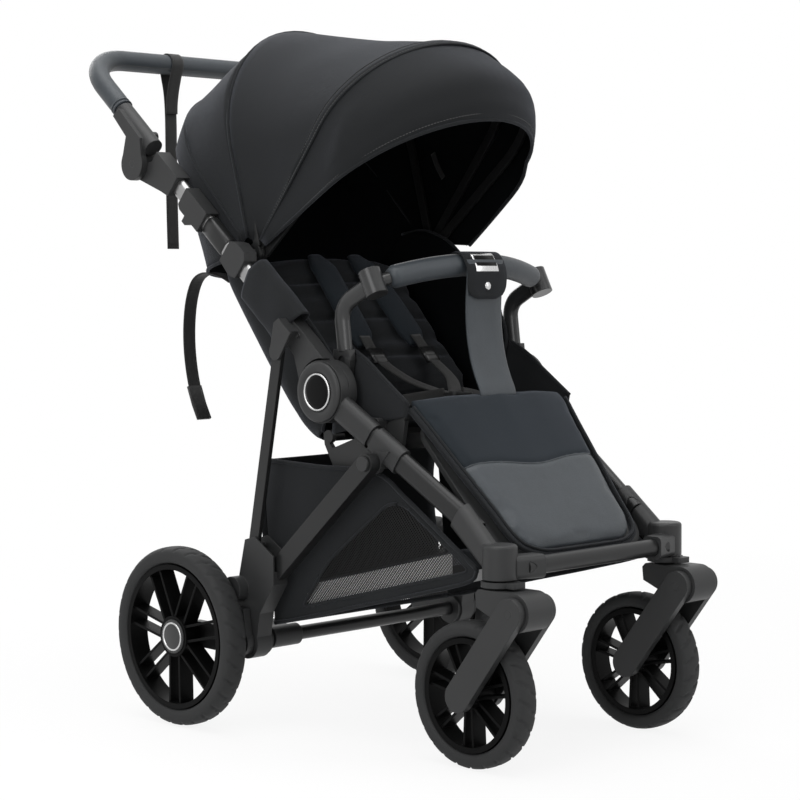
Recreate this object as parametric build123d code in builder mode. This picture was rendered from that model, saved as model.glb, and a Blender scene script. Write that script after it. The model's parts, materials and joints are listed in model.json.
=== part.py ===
from build123d import *
import os
from math import atan2, cos, degrees, hypot, radians, sin

# Baby stroller with a folding frame, four wheels, reclining seat, canopy, bumper bar and basket.
# Millimetres. +Z is up, the stroller faces -Y, and right is the pusher's right, which is -X.
os.makedirs("parts", exist_ok=True)

# Clearances
run_gap = 0.05          # pin or shaft in its bore, on the radius
side_gap = 0.5          # between two bodies that move past each other
soft_gap = 0.4          # between cloth or foam and what carries it

# Wheels
rear_wheel_d = 280.0
rear_tyre_w = 41.0
rear_rim_d = 226.0
rear_track = 570.6
front_wheel_d = 211.5
front_tyre_w = 40.0
front_rim_d = 164.0
rim_wall = 8.0
rim_w = 34.0
spoke_groups = 7
spoke_spread = 19.0     # degrees from the middle of a V of spokes to its end at the rim
spoke_t = 4.0
spoke_w = 26.0
rear_hub_d = 64.0
front_hub_d = 40.0
stub_d = 16.0
front_axle_d = 10.0

# Front swivels and forks
swivel_track = 373.6
swivel_ahead = 586.5    # swivel axes ahead of the rear axle
trail = 49.5            # front axle behind its swivel axis
fork_lead = 48.5        # fork pivot ahead of its swivel axis
fork_pivot_z = 234.0
crown_r = 27.5
crown_half_w = 25.5
crown_top_z = 262.0
fork_plate_t = 12.0
fork_arm_w = 44.0
fork_pin_d = 12.0
stem_d = 16.0
stem_top_z = 312.0
housing_d = 50.0
housing_low_z = 275.0
housing_top_z = 324.0
lock_t = 8.0
lock_d = 54.0

# Fold hub and push frame, whose side plane is tilted back
hub_ahead = 263.0
hub_z = 528.0
hub_disc_r = 47.0
hub_pin_d = 16.0
push_tilt = 40.4
push_x = 215.0
push_above = 21.4       # push tube line above the hub
push_tube_h = 30.0
push_tube_w = 20.0
tube_wall = 2.0
handle_pivot_along = 556.0
handle_pivot_above = -5.6
handle_x = 222.0
handle_above = 33.0
handle_along = 795.0    # hub to the cross bar
handle_bend_r = 82.0
handle_core_d = 26.0
grip_d = 34.0
grip_start = 650.0
handle_sleeve_d = 31.0
handle_sleeve_start = 548.0
trigger_start = 372.0
trigger_length = 64.0
clamp_start = 255.0
clamp_length = 46.0
canopy_along = 275.0
canopy_above = 42.0
strut_top_along = 100.0
strut_top_above = -8.0

# Layers of the frame's side, measured out from the middle
bumper_in, bumper_out = 184.0, 195.5
arm_in, arm_mid, arm_out = 196.0, 211.5, 225.5
base_in, base_out = 212.0, 228.0
cap_out = 232.0
strut_in, strut_out = 232.5, 239.5
ear_in, ear_out = 240.0, 244.5

# Front tubes, which close in towards the front
front_tube_h = 34.0
front_tube_w = 20.0
front_top_x = 220.0
front_low_x = 175.0
front_low_ahead = 545.0
front_low_z = 330.0
cross_ahead = 606.0
cross_z = 291.0
cross_d = 26.0
cross_half = 158.0

# Rear legs, struts and suspension
leg_pivot_ahead = 363.0
leg_pivot_z = 426.5
leg_pin_d = 12.0
leg_foot_ahead = 166.0
leg_foot_z = 253.0
leg_in, leg_out = 216.0, 234.0
leg_h = 30.0
strut_foot_ahead = 121.0
strut_foot_z = 286.0
strut_w = 20.0
strut_pin_d = 10.0
swing_ahead = 108.0
swing_z = 138.0
swing_housing_d = 54.0
bracket_in, bracket_out = 214.0, 243.0
swing_in, swing_out = 244.0, 257.0
axle_tube_d = 22.0
drum_ahead = 95.0
drum_z = 219.0
drum_d = 40.0
drum_out = 261.0

# Seat, backrest and leg rest
seat_half = 160.0
seat_front_ahead = 371.0
seat_rear_ahead = 242.0
seat_front_z = 516.0
seat_rear_z = 478.0
seat_thick = 40.0
board_t = 8.0
back_pivot_ahead = 227.0
back_pivot_z = 457.0
back_tilt = 49.0
back_length = 335.0
back_half = 165.0
back_pad_t = 40.0
leg_rest_top_ahead = 397.0
leg_rest_top_z = 522.0
leg_rest_tilt = 47.6
leg_rest_length = 290.0
leg_rest_half = 176.0
leg_rest_pad_t = 24.0
leg_rest_seam = 131.0
hinge_pin_d = 8.0

# Bumper bar
bumper_base_ahead = 276.0
bumper_base_z = 591.0
bumper_elbow_ahead = 268.0
bumper_elbow_z = 655.0
knuckle_x = 184.0
knuckle_ahead = 333.0
knuckle_z = 689.5
bumper_front_ahead = 367.0
bumper_front_z = 716.0
bumper_tube_d = 24.0
bumper_cover_d = 34.0
knuckle_d = 34.0
knuckle_h = 40.0

# Canopy, as angles about its hinge from the rear and as radii at the top
canopy_half = 202.0
canopy_front_half = 194.0
canopy_cloth_t = 3.0
canopy_corner_r = 188.0
ridge_corner_r = 165.0
canopy_foot_r = 26.0
canopy_front_foot_r = 42.0
back_foot_angle, back_foot_r = -10.0, 230.0
back_mid_angle, back_mid_r = 36.0, 365.0
back_seam_angle, back_seam_r = 46.0, 376.0
rear_bow_angle, rear_bow_r = 75.0, 373.0
ridge_angle, ridge_r = 128.0, 401.0
front_bow_angle, front_bow_r = 140.0, 416.0
peak_angle, peak_r = 146.0, 405.0
brim_angle, brim_r = 149.8, 387.0
bow_t = 5.5
bow_w = 14.0
bow_disc_r = 14.0
canopy_pin_d = 10.0

# Basket, in the side plane
basket_half = 196.0
basket_wall = 3.0
basket_rear_ahead = 104.0
basket_rear_top_z = 415.0
basket_rear_low_ahead = 112.0
basket_rear_low_z = 165.0
basket_belly_ahead = 494.0
basket_belly_z = 250.0
basket_front_low_ahead = 548.0
basket_front_low_z = 269.0
basket_front_ahead = 552.0
basket_front_top_z = 284.0
basket_bend_ahead = 350.0

# Straps and webbing
webbing_w = 25.0
webbing_t = 3.0
wrist_strap_x = -32.0
wrist_strap_drop = 300.0
crotch_strap_w = 78.0
crotch_strap_t = 5.0

# Places that follow from the sizes: the origin is under the middle of the overall box.
nose_reach = swivel_ahead + fork_lead + crown_r
tilt_c = cos(radians(push_tilt))
tilt_s = sin(radians(push_tilt))
grip_reach = handle_along * tilt_c - handle_above * tilt_s - hub_ahead + grip_d / 2
rear_axle_y = (nose_reach - grip_reach) / 2
rear_axle_z = rear_wheel_d / 2
front_axle_z = front_wheel_d / 2
hub_y = rear_axle_y - hub_ahead
swivel_x = swivel_track / 2
swivel_y = rear_axle_y - swivel_ahead
front_axle_y = swivel_y + trail
fork_pivot_y = swivel_y - fork_lead
leg_pivot_y = rear_axle_y - leg_pivot_ahead
leg_foot_y = rear_axle_y - leg_foot_ahead
strut_foot_y = rear_axle_y - strut_foot_ahead
swing_y = rear_axle_y - swing_ahead
drum_y = rear_axle_y - drum_ahead
cross_y = rear_axle_y - cross_ahead
back_pivot_y = rear_axle_y - back_pivot_ahead
seat_front_y = rear_axle_y - seat_front_ahead
seat_rear_y = rear_axle_y - seat_rear_ahead
SIDES = (("right", -1), ("left", 1))


def save(builder, name):
    """Label a finished piece and write it."""
    builder.part.label = name
    export_step(builder.part, f"parts/{name}.step")


def side_plane(side, x_in, x_out, y, z, angle=0.0):
    """Plane on the face of a side layer that is nearest -X, with local x along the angle."""
    x = x_in if side > 0 else -x_out
    a = radians(angle)
    return Plane(origin=(x, y, z), x_dir=(0, cos(a), sin(a)), z_dir=(1, 0, 0))


def push_point(along, above):
    """Y and Z of a point of the push frame, along and above its tilt from the hub."""
    return (hub_y + along * tilt_c - above * tilt_s, hub_z + along * tilt_s + above * tilt_c)


def push_plane(side, x_in, x_out, along=0.0, above=0.0):
    """Side plane of the push frame, with local x along its tilt."""
    y, z = push_point(along, above)
    return side_plane(side, x_in, x_out, y, z, push_tilt)


def toward(start, end):
    """Plane at start that looks at end, with local x as near +X as it can be."""
    z_dir = (Vector(*end) - Vector(*start)).normalized()
    x_dir = Vector(1, 0, 0) - z_dir * z_dir.X
    return Plane(origin=start, x_dir=x_dir, z_dir=z_dir)


def front_point(share, side=-1):
    """Point on a front tube's line, from the hub at 0 to the corner bracket at 1."""
    x = front_top_x + (front_low_x - front_top_x) * share
    y = hub_y + (rear_axle_y - front_low_ahead - hub_y) * share
    z = hub_z + (front_low_z - hub_z) * share
    return (side * x, y, z)


def oval(height, width):
    """Oval tube section with its long side along local y."""
    SlotOverall(height, width, rotation=90)


def link(across, up, width):
    """Bar with round ends, from the sketch's origin to a point across and up from it."""
    with Locations(Location((across / 2, up / 2, 0), (0, 0, degrees(atan2(up, across))))):
        SlotCenterToCenter(hypot(across, up), width)


# Front tubes
tube_top_share, tube_low_share = 0.18, 0.97
with BuildPart() as front_tubes:
    with BuildSketch(toward(front_point(tube_top_share), front_point(tube_low_share))):
        oval(front_tube_h, front_tube_w)
    start = Vector(*front_point(tube_top_share))
    front_tube_length = (Vector(*front_point(tube_low_share)) - start).length
    extrude(amount=front_tube_length)
    with BuildSketch(toward(front_point(tube_top_share), front_point(tube_low_share))):
        oval(front_tube_h - 2 * tube_wall, front_tube_w - 2 * tube_wall)
    extrude(amount=front_tube_length, mode=Mode.SUBTRACT)
    mirror(about=Plane.YZ)
save(front_tubes, "front_tubes")

# Fold hub bases: outer hub discs, each with a cap, a front tube's sleeve and the pin of the inner layers
sleeve_end_share = 0.32
sleeve_h, sleeve_w = 42.0, 26.0
with BuildPart() as hub_bases:
    with BuildSketch(side_plane(-1, base_in, base_out, hub_y, hub_z)):
        Circle(hub_disc_r)
    extrude(amount=base_out - base_in)
    with BuildSketch(toward(front_point(0.12), front_point(1))):
        oval(sleeve_h, sleeve_w)
    extrude(amount=(Vector(*front_point(sleeve_end_share)) - Vector(*front_point(0.12))).length)
    with BuildSketch(side_plane(-1, arm_in - 20, base_in, hub_y, hub_z)):
        Circle(hub_disc_r + 3)
    extrude(amount=base_in - arm_in + 20, mode=Mode.SUBTRACT)
    with BuildSketch(side_plane(-1, base_in, base_out, hub_y, hub_z)):
        Circle(hub_pin_d / 2 + run_gap)
    extrude(amount=base_out - base_in, mode=Mode.SUBTRACT)
    with BuildSketch(toward(front_point(tube_top_share), front_point(1))):
        oval(front_tube_h + 2 * run_gap, front_tube_w + 2 * run_gap)
    extrude(amount=front_tube_length, mode=Mode.SUBTRACT)
    with BuildSketch(side_plane(-1, bumper_in, base_out, hub_y, hub_z)):
        Circle(hub_pin_d / 2)
    extrude(amount=base_out - bumper_in)
    with BuildSketch(side_plane(-1, base_out, cap_out, hub_y, hub_z)):
        Circle(hub_disc_r - 5)
    extrude(amount=cap_out - base_out)
    fillet(hub_bases.faces().sort_by(Axis.X)[0].edges(), 2)
    mirror(about=Plane.YZ)
save(hub_bases, "hub_bases")

# Leg brackets: a collar on each front tube, with the ear and the pin that a rear leg turns on
collar_start, collar_end = 0.34, 0.5
with BuildPart() as leg_brackets:
    with BuildSketch(toward(front_point(collar_start), front_point(1))):
        oval(sleeve_h, sleeve_w)
    extrude(amount=(Vector(*front_point(collar_end)) - Vector(*front_point(collar_start))).length)
    ear_y, ear_z = front_point(0.42)[1:]
    with BuildSketch(side_plane(-1, leg_in - 10, leg_in - side_gap, leg_pivot_y, leg_pivot_z)):
        with BuildLine():
            Polyline(
                (-16, 0), (16, 0), (ear_y - leg_pivot_y + 14, ear_z - leg_pivot_z),
                (ear_y - leg_pivot_y - 14, ear_z - leg_pivot_z), close=True,
            )
        make_face()
        Circle(16)
    extrude(amount=10 - side_gap)
    with BuildSketch(side_plane(-1, leg_in - 5, leg_out + 5, leg_pivot_y, leg_pivot_z)):
        Circle(leg_pin_d / 2)
    extrude(amount=leg_out - leg_in + 10)
    with BuildSketch(side_plane(-1, leg_out + side_gap, leg_out + 5, leg_pivot_y, leg_pivot_z)):
        Circle(leg_pin_d / 2 + 5)
    extrude(amount=5 - side_gap)
    with BuildSketch(toward(front_point(tube_top_share), front_point(1))):
        oval(front_tube_h + 2 * run_gap, front_tube_w + 2 * run_gap)
    extrude(amount=front_tube_length, mode=Mode.SUBTRACT)
    mirror(about=Plane.YZ)
save(leg_brackets, "leg_brackets")

# Corner brackets: sleeve on the front tube, arm to the cross tube and swivel housing
corner_start = 0.86
corner_h, corner_w = 44.0, 30.0
with BuildPart() as corner_brackets:
    with BuildSketch(Plane(origin=(-swivel_x, swivel_y, housing_low_z))):
        Circle(housing_d / 2)
    extrude(amount=housing_top_z - housing_low_z)
    fillet(corner_brackets.faces().sort_by(Axis.Z)[-1].edges(), 5)
    corner_plane = toward(front_point(corner_start), front_point(1))
    with BuildSketch(corner_plane):
        oval(corner_h, corner_w)
    with BuildSketch(Plane(origin=(-swivel_x, swivel_y + housing_d / 4, (housing_low_z + housing_top_z) / 2),
                           x_dir=corner_plane.x_dir, z_dir=corner_plane.z_dir)):
        oval(corner_h - 6, corner_w)
    loft()
    arm_plane = Plane(origin=(-swivel_x + 8, swivel_y - 8, cross_z), x_dir=(0, 1, 0), z_dir=(1, 0, 0))
    with BuildSketch(arm_plane):
        RectangleRounded(34, 34, 8)
    with BuildSketch(Plane(origin=(-cross_half + 28, cross_y, cross_z), x_dir=(0, 1, 0), z_dir=(1, 0, 0))):
        RectangleRounded(34, 34, 8)
    loft()
    with BuildSketch(Plane(origin=(-cross_half - run_gap, cross_y, cross_z), x_dir=(0, 1, 0),
                           z_dir=(1, 0, 0))):
        Circle(cross_d / 2 + run_gap)
    extrude(amount=40, mode=Mode.SUBTRACT)
    with BuildSketch(Plane(origin=(-swivel_x, swivel_y, housing_low_z - 10))):
        Circle(stem_d / 2 + run_gap)
    extrude(amount=stem_top_z - housing_low_z + 11, mode=Mode.SUBTRACT)
    with BuildSketch(Plane(origin=(-swivel_x, swivel_y, housing_low_z - 30))):
        Circle(lock_d / 2 + 12)
    extrude(amount=30, mode=Mode.SUBTRACT)
    with BuildSketch(toward(front_point(tube_top_share), front_point(1))):
        oval(front_tube_h + 2 * run_gap, front_tube_w + 2 * run_gap)
    extrude(amount=front_tube_length + run_gap, mode=Mode.SUBTRACT)
    mirror(about=Plane.YZ)
save(corner_brackets, "corner_brackets")

# Front cross tube
with BuildPart() as front_cross_tube:
    with BuildSketch(Plane(origin=(-cross_half, cross_y, cross_z), x_dir=(0, 1, 0), z_dir=(1, 0, 0))):
        Circle(cross_d / 2)
        Circle(cross_d / 2 - tube_wall, mode=Mode.SUBTRACT)
    extrude(amount=2 * cross_half)
save(front_cross_tube, "front_cross_tube")

# Swivel locks, swivel heads, forks and front wheels
lock_z = (housing_low_z + crown_top_z - lock_t) / 2
fork_in = crown_half_w + side_gap
fork_out = fork_in + fork_plate_t


def wheel_plane(x, y, z):
    """Plane across a wheel at its middle."""
    return Plane(origin=(x, y, z), x_dir=(0, 1, 0), z_dir=(1, 0, 0))


def make_rim(centre, rim_d, hub_d, hub_w, bore_plane, bore_d, bore_length):
    """Rim ring, hub barrel and paired spokes, with the axle's bore cut from its own plane."""
    inner_r = rim_d / 2 - rim_wall
    root_r = hub_d / 2 - spoke_t / 2
    end_y = (inner_r + 2) * sin(radians(spoke_spread))
    end_x = (inner_r + 2) * cos(radians(spoke_spread))
    spoke = Vector(end_x - root_r, end_y - spoke_t / 2)
    with BuildPart() as rim:
        with BuildSketch(centre):
            Circle(rim_d / 2)
            Circle(inner_r, mode=Mode.SUBTRACT)
        extrude(amount=rim_w / 2, both=True)
        with BuildSketch(centre):
            with PolarLocations(0, spoke_groups, start_angle=90):
                for hand in (-1, 1):
                    middle = (root_r + spoke.X / 2, hand * (spoke_t + spoke.Y) / 2)
                    turn = hand * spoke.get_angle(Vector(1, 0))
                    with Locations(Location((middle[0], middle[1], 0), (0, 0, turn))):
                        Rectangle(spoke.length, spoke_t)
        extrude(amount=spoke_w / 2, both=True)
        with BuildSketch(centre):
            Circle(hub_d / 2)
        extrude(amount=hub_w / 2, both=True)
        with BuildSketch(bore_plane):
            Circle(bore_d / 2 + run_gap)
        extrude(amount=bore_length, mode=Mode.SUBTRACT)
    return rim


def make_tyre(x, y, z, wheel_d, rim_d, width):
    """Tyre ring with a rounded tread."""
    depth = (wheel_d - rim_d) / 2 - run_gap
    middle_r = wheel_d / 2 - depth / 2
    section_plane = Plane(origin=(x, y, z), x_dir=(1, 0, 0), z_dir=(0, -1, 0))
    with BuildPart() as tyre:
        with BuildSketch(section_plane):
            with Locations((0, middle_r)):
                RectangleRounded(width, depth, depth * 0.38)
        revolve(axis=Axis((x, y, z), (1, 0, 0)))
    return tyre


for name, side in SIDES:
    x = side * swivel_x
    with BuildPart() as swivel_lock:
        with BuildSketch(Plane(origin=(x, swivel_y, lock_z))):
            Circle(lock_d / 2)
            with Locations((0, -lock_d / 2)):
                RectangleRounded(26, 22, 4)
            Circle(stem_d / 2 + run_gap, mode=Mode.SUBTRACT)
        extrude(amount=lock_t)
    save(swivel_lock, f"swivel_lock_{name}")

    with BuildPart() as swivel_head:
        with BuildSketch(Plane(origin=(x, swivel_y, crown_top_z - 30))):
            Circle(stem_d / 2)
        extrude(amount=stem_top_z - crown_top_z + 30)
        crown_plane = Plane(origin=(x - crown_half_w, fork_pivot_y, fork_pivot_z), x_dir=(0, 1, 0),
                            z_dir=(1, 0, 0))
        with BuildSketch(crown_plane):
            Circle(crown_r)
            top = crown_top_z - fork_pivot_z - 0.5
            with BuildLine():
                Polyline((0, top), (fork_lead + 18, top), (fork_lead + 24, top - 6),
                         (fork_lead + 22, top - 26),
                         (0, -crown_r), close=True)
            make_face()
        extrude(amount=2 * crown_half_w)
        with BuildSketch(Plane(origin=(x, swivel_y, crown_top_z - 6))):
            Circle(stem_d / 2 + 8)
        extrude(amount=6)
        with BuildSketch(Plane(origin=(x - fork_out, fork_pivot_y, fork_pivot_z), x_dir=(0, 1, 0),
                               z_dir=(1, 0, 0))):
            Circle(fork_pin_d / 2)
        extrude(amount=2 * fork_out)
    save(swivel_head, f"swivel_head_{name}")

    with BuildPart() as fork:
        for x_low in (x - fork_out, x + fork_in):
            plate = Plane(origin=(x_low, fork_pivot_y, fork_pivot_z), x_dir=(0, 1, 0), z_dir=(1, 0, 0))
            with BuildSketch(plate):
                link(front_axle_y - fork_pivot_y, front_axle_z - fork_pivot_z, fork_arm_w)
                Circle(fork_pin_d / 2 + run_gap, mode=Mode.SUBTRACT)
            extrude(amount=fork_plate_t)
        with BuildSketch(Plane(origin=(x - fork_out, front_axle_y, front_axle_z), x_dir=(0, 1, 0),
                               z_dir=(1, 0, 0))):
            Circle(front_axle_d / 2)
        extrude(amount=2 * fork_out)
    save(fork, f"fork_{name}")

    rim = make_rim(wheel_plane(x, front_axle_y, front_axle_z), front_rim_d, front_hub_d, 2 * fork_in - 3,
                   wheel_plane(x - fork_in, front_axle_y, front_axle_z), front_axle_d, 2 * fork_in)
    save(rim, f"front_rim_{name}")
    tyre = make_tyre(x, front_axle_y, front_axle_z, front_wheel_d, front_rim_d, front_tyre_w)
    save(tyre, f"front_tyre_{name}")

# Rear legs
with BuildPart() as rear_legs:
    with BuildSketch(side_plane(-1, leg_in, leg_out, leg_pivot_y, leg_pivot_z)):
        link(leg_foot_y - leg_pivot_y, leg_foot_z - leg_pivot_z, leg_h)
        Circle(leg_pin_d / 2 + run_gap, mode=Mode.SUBTRACT)
    extrude(amount=leg_out - leg_in)
    mirror(about=Plane.YZ)
save(rear_legs, "rear_legs")

# Rear brackets: plates on each leg's foot, the strut's pin, a neck and the swing arm's housing
with BuildPart() as rear_brackets:
    plate_points = (
        (leg_foot_ahead + 6, leg_foot_z + 22), (strut_foot_ahead + 8, strut_foot_z + 16),
        (strut_foot_ahead - 14, strut_foot_z + 10), (drum_ahead - 4, drum_z + 14),
        (swing_ahead - 22, swing_z + 40),
        (swing_ahead - 24, swing_z), (swing_ahead + 24, swing_z), (swing_ahead + 32, swing_z + 46),
        (leg_foot_ahead + 6, leg_foot_z - 22),
    )
    for x_in, x_out in ((bracket_in, leg_in - run_gap), (ear_in, bracket_out)):
        with BuildSketch(side_plane(-1, x_in, x_out, 0, 0)):
            with BuildLine():
                Polyline([(rear_axle_y - ahead, z) for ahead, z in plate_points], close=True)
            make_face()
            with Locations((swing_y, swing_z)):
                Circle(swing_housing_d / 2)
        extrude(amount=x_out - x_in)
    core_top = leg_foot_z - 2
    core_points = (
        (leg_foot_ahead + 6, core_top), (strut_foot_ahead + 14, core_top - 4), (drum_ahead + 2, drum_z + 8),
        (swing_ahead - 22, swing_z + 40), (swing_ahead - 24, swing_z), (swing_ahead + 24, swing_z),
        (swing_ahead + 32, swing_z + 46), (leg_foot_ahead + 6, leg_foot_z - 22),
    )
    with BuildSketch(side_plane(-1, bracket_in, bracket_out, 0, 0)):
        with BuildLine():
            Polyline([(rear_axle_y - ahead, z) for ahead, z in core_points], close=True)
        make_face()
        with Locations((swing_y, swing_z)):
            Circle(swing_housing_d / 2)
    extrude(amount=bracket_out - bracket_in)
    leg_slot = leg_out - leg_in + 2 * run_gap
    with BuildSketch(side_plane(-1, leg_in - run_gap, leg_out + run_gap, leg_pivot_y, leg_pivot_z)):
        link(leg_foot_y - leg_pivot_y, leg_foot_z - leg_pivot_z, leg_h + 2 * run_gap)
    extrude(amount=leg_slot, mode=Mode.SUBTRACT)
    with BuildSketch(side_plane(-1, bracket_in, bracket_out, strut_foot_y, strut_foot_z)):
        Circle(strut_pin_d / 2)
    extrude(amount=bracket_out - bracket_in)
    with BuildSketch(side_plane(-1, bracket_in - 6, leg_in, swing_y, swing_z)):
        Circle(swing_housing_d / 2 - 3)
    extrude(amount=leg_in - bracket_in + 6)
    with BuildSketch(side_plane(-1, bracket_in, drum_out, drum_y, drum_z)):
        Circle(drum_d / 2)
    extrude(amount=drum_out - bracket_in)
    with BuildSketch(side_plane(-1, bracket_in, swing_out, swing_y, swing_z)):
        Circle(stub_d / 2)
    extrude(amount=swing_out - bracket_in)
    with BuildSketch(side_plane(-1, bracket_in - 20, bracket_in + 8, swing_y, swing_z)):
        Circle(axle_tube_d / 2 + run_gap)
    extrude(amount=28, mode=Mode.SUBTRACT)
    mirror(about=Plane.YZ)
save(rear_brackets, "rear_brackets")

# Rear axle tube between the two housings
with BuildPart() as rear_axle_tube:
    with BuildSketch(wheel_plane(0, swing_y, swing_z)):
        Circle(axle_tube_d / 2)
        Circle(axle_tube_d / 2 - tube_wall, mode=Mode.SUBTRACT)
    extrude(amount=bracket_in + 8, both=True)
save(rear_axle_tube, "rear_axle_tube")

# Brake pedal: a ring on the axle tube with a foot plate behind it
pedal_in, pedal_out = 140.0, 196.0
with BuildPart() as brake_pedal:
    with BuildSketch(side_plane(-1, pedal_in, pedal_out, swing_y, swing_z, 8)):
        Circle(axle_tube_d / 2 + 6)
        with Locations((34, 4)):
            RectangleRounded(60, 12, 4)
        Circle(axle_tube_d / 2 + run_gap, mode=Mode.SUBTRACT)
    extrude(amount=pedal_out - pedal_in)
save(brake_pedal, "brake_pedal")

# Struts between the hub arms and the rear brackets
strut_top_y, strut_top_z = push_point(strut_top_along, strut_top_above)
with BuildPart() as struts:
    with BuildSketch(side_plane(-1, strut_in, strut_out, strut_foot_y, strut_foot_z)):
        link(strut_top_y - strut_foot_y, strut_top_z - strut_foot_z, strut_w)
        Circle(strut_pin_d / 2 + run_gap, mode=Mode.SUBTRACT)
    extrude(amount=strut_out - strut_in)
    mirror(about=Plane.YZ)
save(struts, "struts")

# Rear swing arms with their stub axles, and the rear wheels
rear_hub_w = 30.0
stub_length = rear_track / 2 - swing_in + rear_hub_w / 2 - 4
for name, side in SIDES:
    with BuildPart() as swing_arm:
        with BuildSketch(side_plane(side, swing_in, swing_out, swing_y, swing_z)):
            link(swing_ahead, rear_axle_z - swing_z, 40)
            with BuildLine():
                Polyline((-16, 10), (-10, 52), (16, 52), (40, 18), close=True)
            make_face()
            Circle(stub_d / 2 + run_gap, mode=Mode.SUBTRACT)
        extrude(amount=swing_out - swing_in)
        with BuildSketch(side_plane(side, swing_in, swing_in + stub_length, rear_axle_y, rear_axle_z)):
            Circle(stub_d / 2)
        extrude(amount=stub_length)
    save(swing_arm, f"swing_arm_{name}")

    x = side * rear_track / 2
    bore_length = stub_length + side_gap
    bore_plane = side_plane(side, swing_in, swing_in + bore_length, rear_axle_y, rear_axle_z)
    rim = make_rim(wheel_plane(x, rear_axle_y, rear_axle_z), rear_rim_d, rear_hub_d, rear_hub_w,
                   bore_plane, stub_d, bore_length)
    save(rim, f"rear_rim_{name}")
    tyre = make_tyre(x, rear_axle_y, rear_axle_z, rear_wheel_d, rear_rim_d, rear_tyre_w)
    save(tyre, f"rear_tyre_{name}")

# Push tubes
push_tube_start, push_tube_end = 100.0, 522.0
with BuildPart() as push_tubes:
    tube_foot = (-push_x, *push_point(push_tube_start, push_above))
    tube_head = (-push_x, *push_point(push_tube_end, push_above))
    with BuildSketch(toward(tube_foot, tube_head)):
        oval(push_tube_h, push_tube_w)
    extrude(amount=push_tube_end - push_tube_start)
    with BuildSketch(toward(tube_foot, tube_head)):
        oval(push_tube_h - 2 * tube_wall, push_tube_w - 2 * tube_wall)
    extrude(amount=push_tube_end - push_tube_start, mode=Mode.SUBTRACT)
    mirror(about=Plane.YZ)
save(push_tubes, "push_tubes")


def push_tube_outline(side, gap):
    """Outline of a push tube at its foot, grown by a gap, to cut out of what sits on the tube."""
    foot = (side * push_x, *push_point(push_tube_start, push_above))
    head = (side * push_x, *push_point(push_tube_end, push_above))
    with BuildSketch(toward(foot, head)) as outline:
        oval(push_tube_h + 2 * gap, push_tube_w + 2 * gap)
    return outline.sketch


# Hub arms: inner hub discs, each with an arm to a push tube and an ear over a strut's top
with BuildPart() as hub_arms:
    with BuildSketch(push_plane(-1, arm_in, arm_mid)):
        Circle(hub_disc_r)
    extrude(amount=arm_mid - arm_in)
    for x_in, x_out in ((arm_in + 7, arm_mid), (arm_mid, arm_out)):
        with BuildSketch(push_plane(-1, x_in, x_out)):
            with BuildLine():
                Polyline((0, 40), (70, 42), (134, 40), (142, 32), (142, 6), (80, 2), (30, -30), close=True)
            make_face()
            if x_in == arm_mid:
                Circle(hub_disc_r + 3, mode=Mode.SUBTRACT)
        extrude(amount=x_out - x_in)
    with BuildSketch(push_plane(-1, ear_in, ear_out)):
        with BuildLine():
            Polyline((strut_top_along - 13, strut_top_above), (strut_top_along + 13, strut_top_above),
                     (strut_top_along + 30, 24), (strut_top_along + 26, 36), (strut_top_along - 8, 36),
                     close=True)
        make_face()
        with Locations((strut_top_along, strut_top_above)):
            Circle(13)
    extrude(amount=ear_out - ear_in)
    with BuildSketch(push_plane(-1, arm_out, ear_out)):
        with BuildLine():
            Polyline((strut_top_along - 4, 26), (strut_top_along + 28, 26), (strut_top_along + 26, 36),
                     (strut_top_along - 4, 36), close=True)
        make_face()
    extrude(amount=ear_out - arm_out)
    with BuildSketch(push_plane(-1, arm_in, arm_mid)):
        Circle(hub_pin_d / 2 + run_gap)
    extrude(amount=arm_mid - arm_in, mode=Mode.SUBTRACT)
    extrude(push_tube_outline(-1, run_gap), amount=push_tube_end - push_tube_start, mode=Mode.SUBTRACT)
    mirror(about=Plane.YZ)
save(hub_arms, "hub_arms")

# Fold triggers: collars that slide up the push tubes
for name, side in SIDES:
    with BuildPart() as fold_trigger:
        with BuildSketch(push_plane(side, push_x - 12, push_x + 14)):
            with BuildLine():
                low, high = trigger_start, trigger_start + trigger_length
                Polyline((low, 3), (low + 18, 3), (low + 30, -8), (low + 40, -8), (low + 40, 3),
                         (high - 8, 3),
                         (high, 8), (high, 40), (low, 40), close=True)
            make_face()
        extrude(amount=26)
        extrude(push_tube_outline(side, 0.3), amount=push_tube_end - push_tube_start, mode=Mode.SUBTRACT)
    save(fold_trigger, f"fold_trigger_{name}")

# Handle sockets: sleeves on the push tubes' ends, with the bosses and pins that the handlebar tilts on
socket_in, socket_out = 204.5, 231.5
cheek_in, cheek_out = 232.0, 243.0
socket_disc_r = handle_above - handle_sleeve_d / 2 - handle_pivot_above - 1
with BuildPart() as handle_sockets:
    pivot_y, pivot_z = push_point(handle_pivot_along, handle_pivot_above)
    with BuildSketch(push_plane(-1, socket_in, socket_out)):
        top_end = handle_pivot_along - 27
        with BuildLine():
            Polyline((462, 3), (480, -2), (handle_pivot_along - 4, handle_pivot_above - socket_disc_r),
                     (handle_pivot_along, handle_pivot_above), (top_end + 10, 10), (top_end, 20),
                     (top_end, 40), (462, 40),
                     close=True)
        make_face()
        with Locations((handle_pivot_along, handle_pivot_above)):
            Circle(socket_disc_r)
    extrude(amount=socket_out - socket_in)
    with BuildSketch(push_plane(-1, socket_out, cheek_out, handle_pivot_along, handle_pivot_above)):
        Circle(leg_pin_d / 2)
    extrude(amount=cheek_out - socket_out)
    extrude(push_tube_outline(-1, run_gap), amount=push_tube_end - push_tube_start + run_gap,
            mode=Mode.SUBTRACT)
    mirror(about=Plane.YZ)
save(handle_sockets, "handle_sockets")

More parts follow.
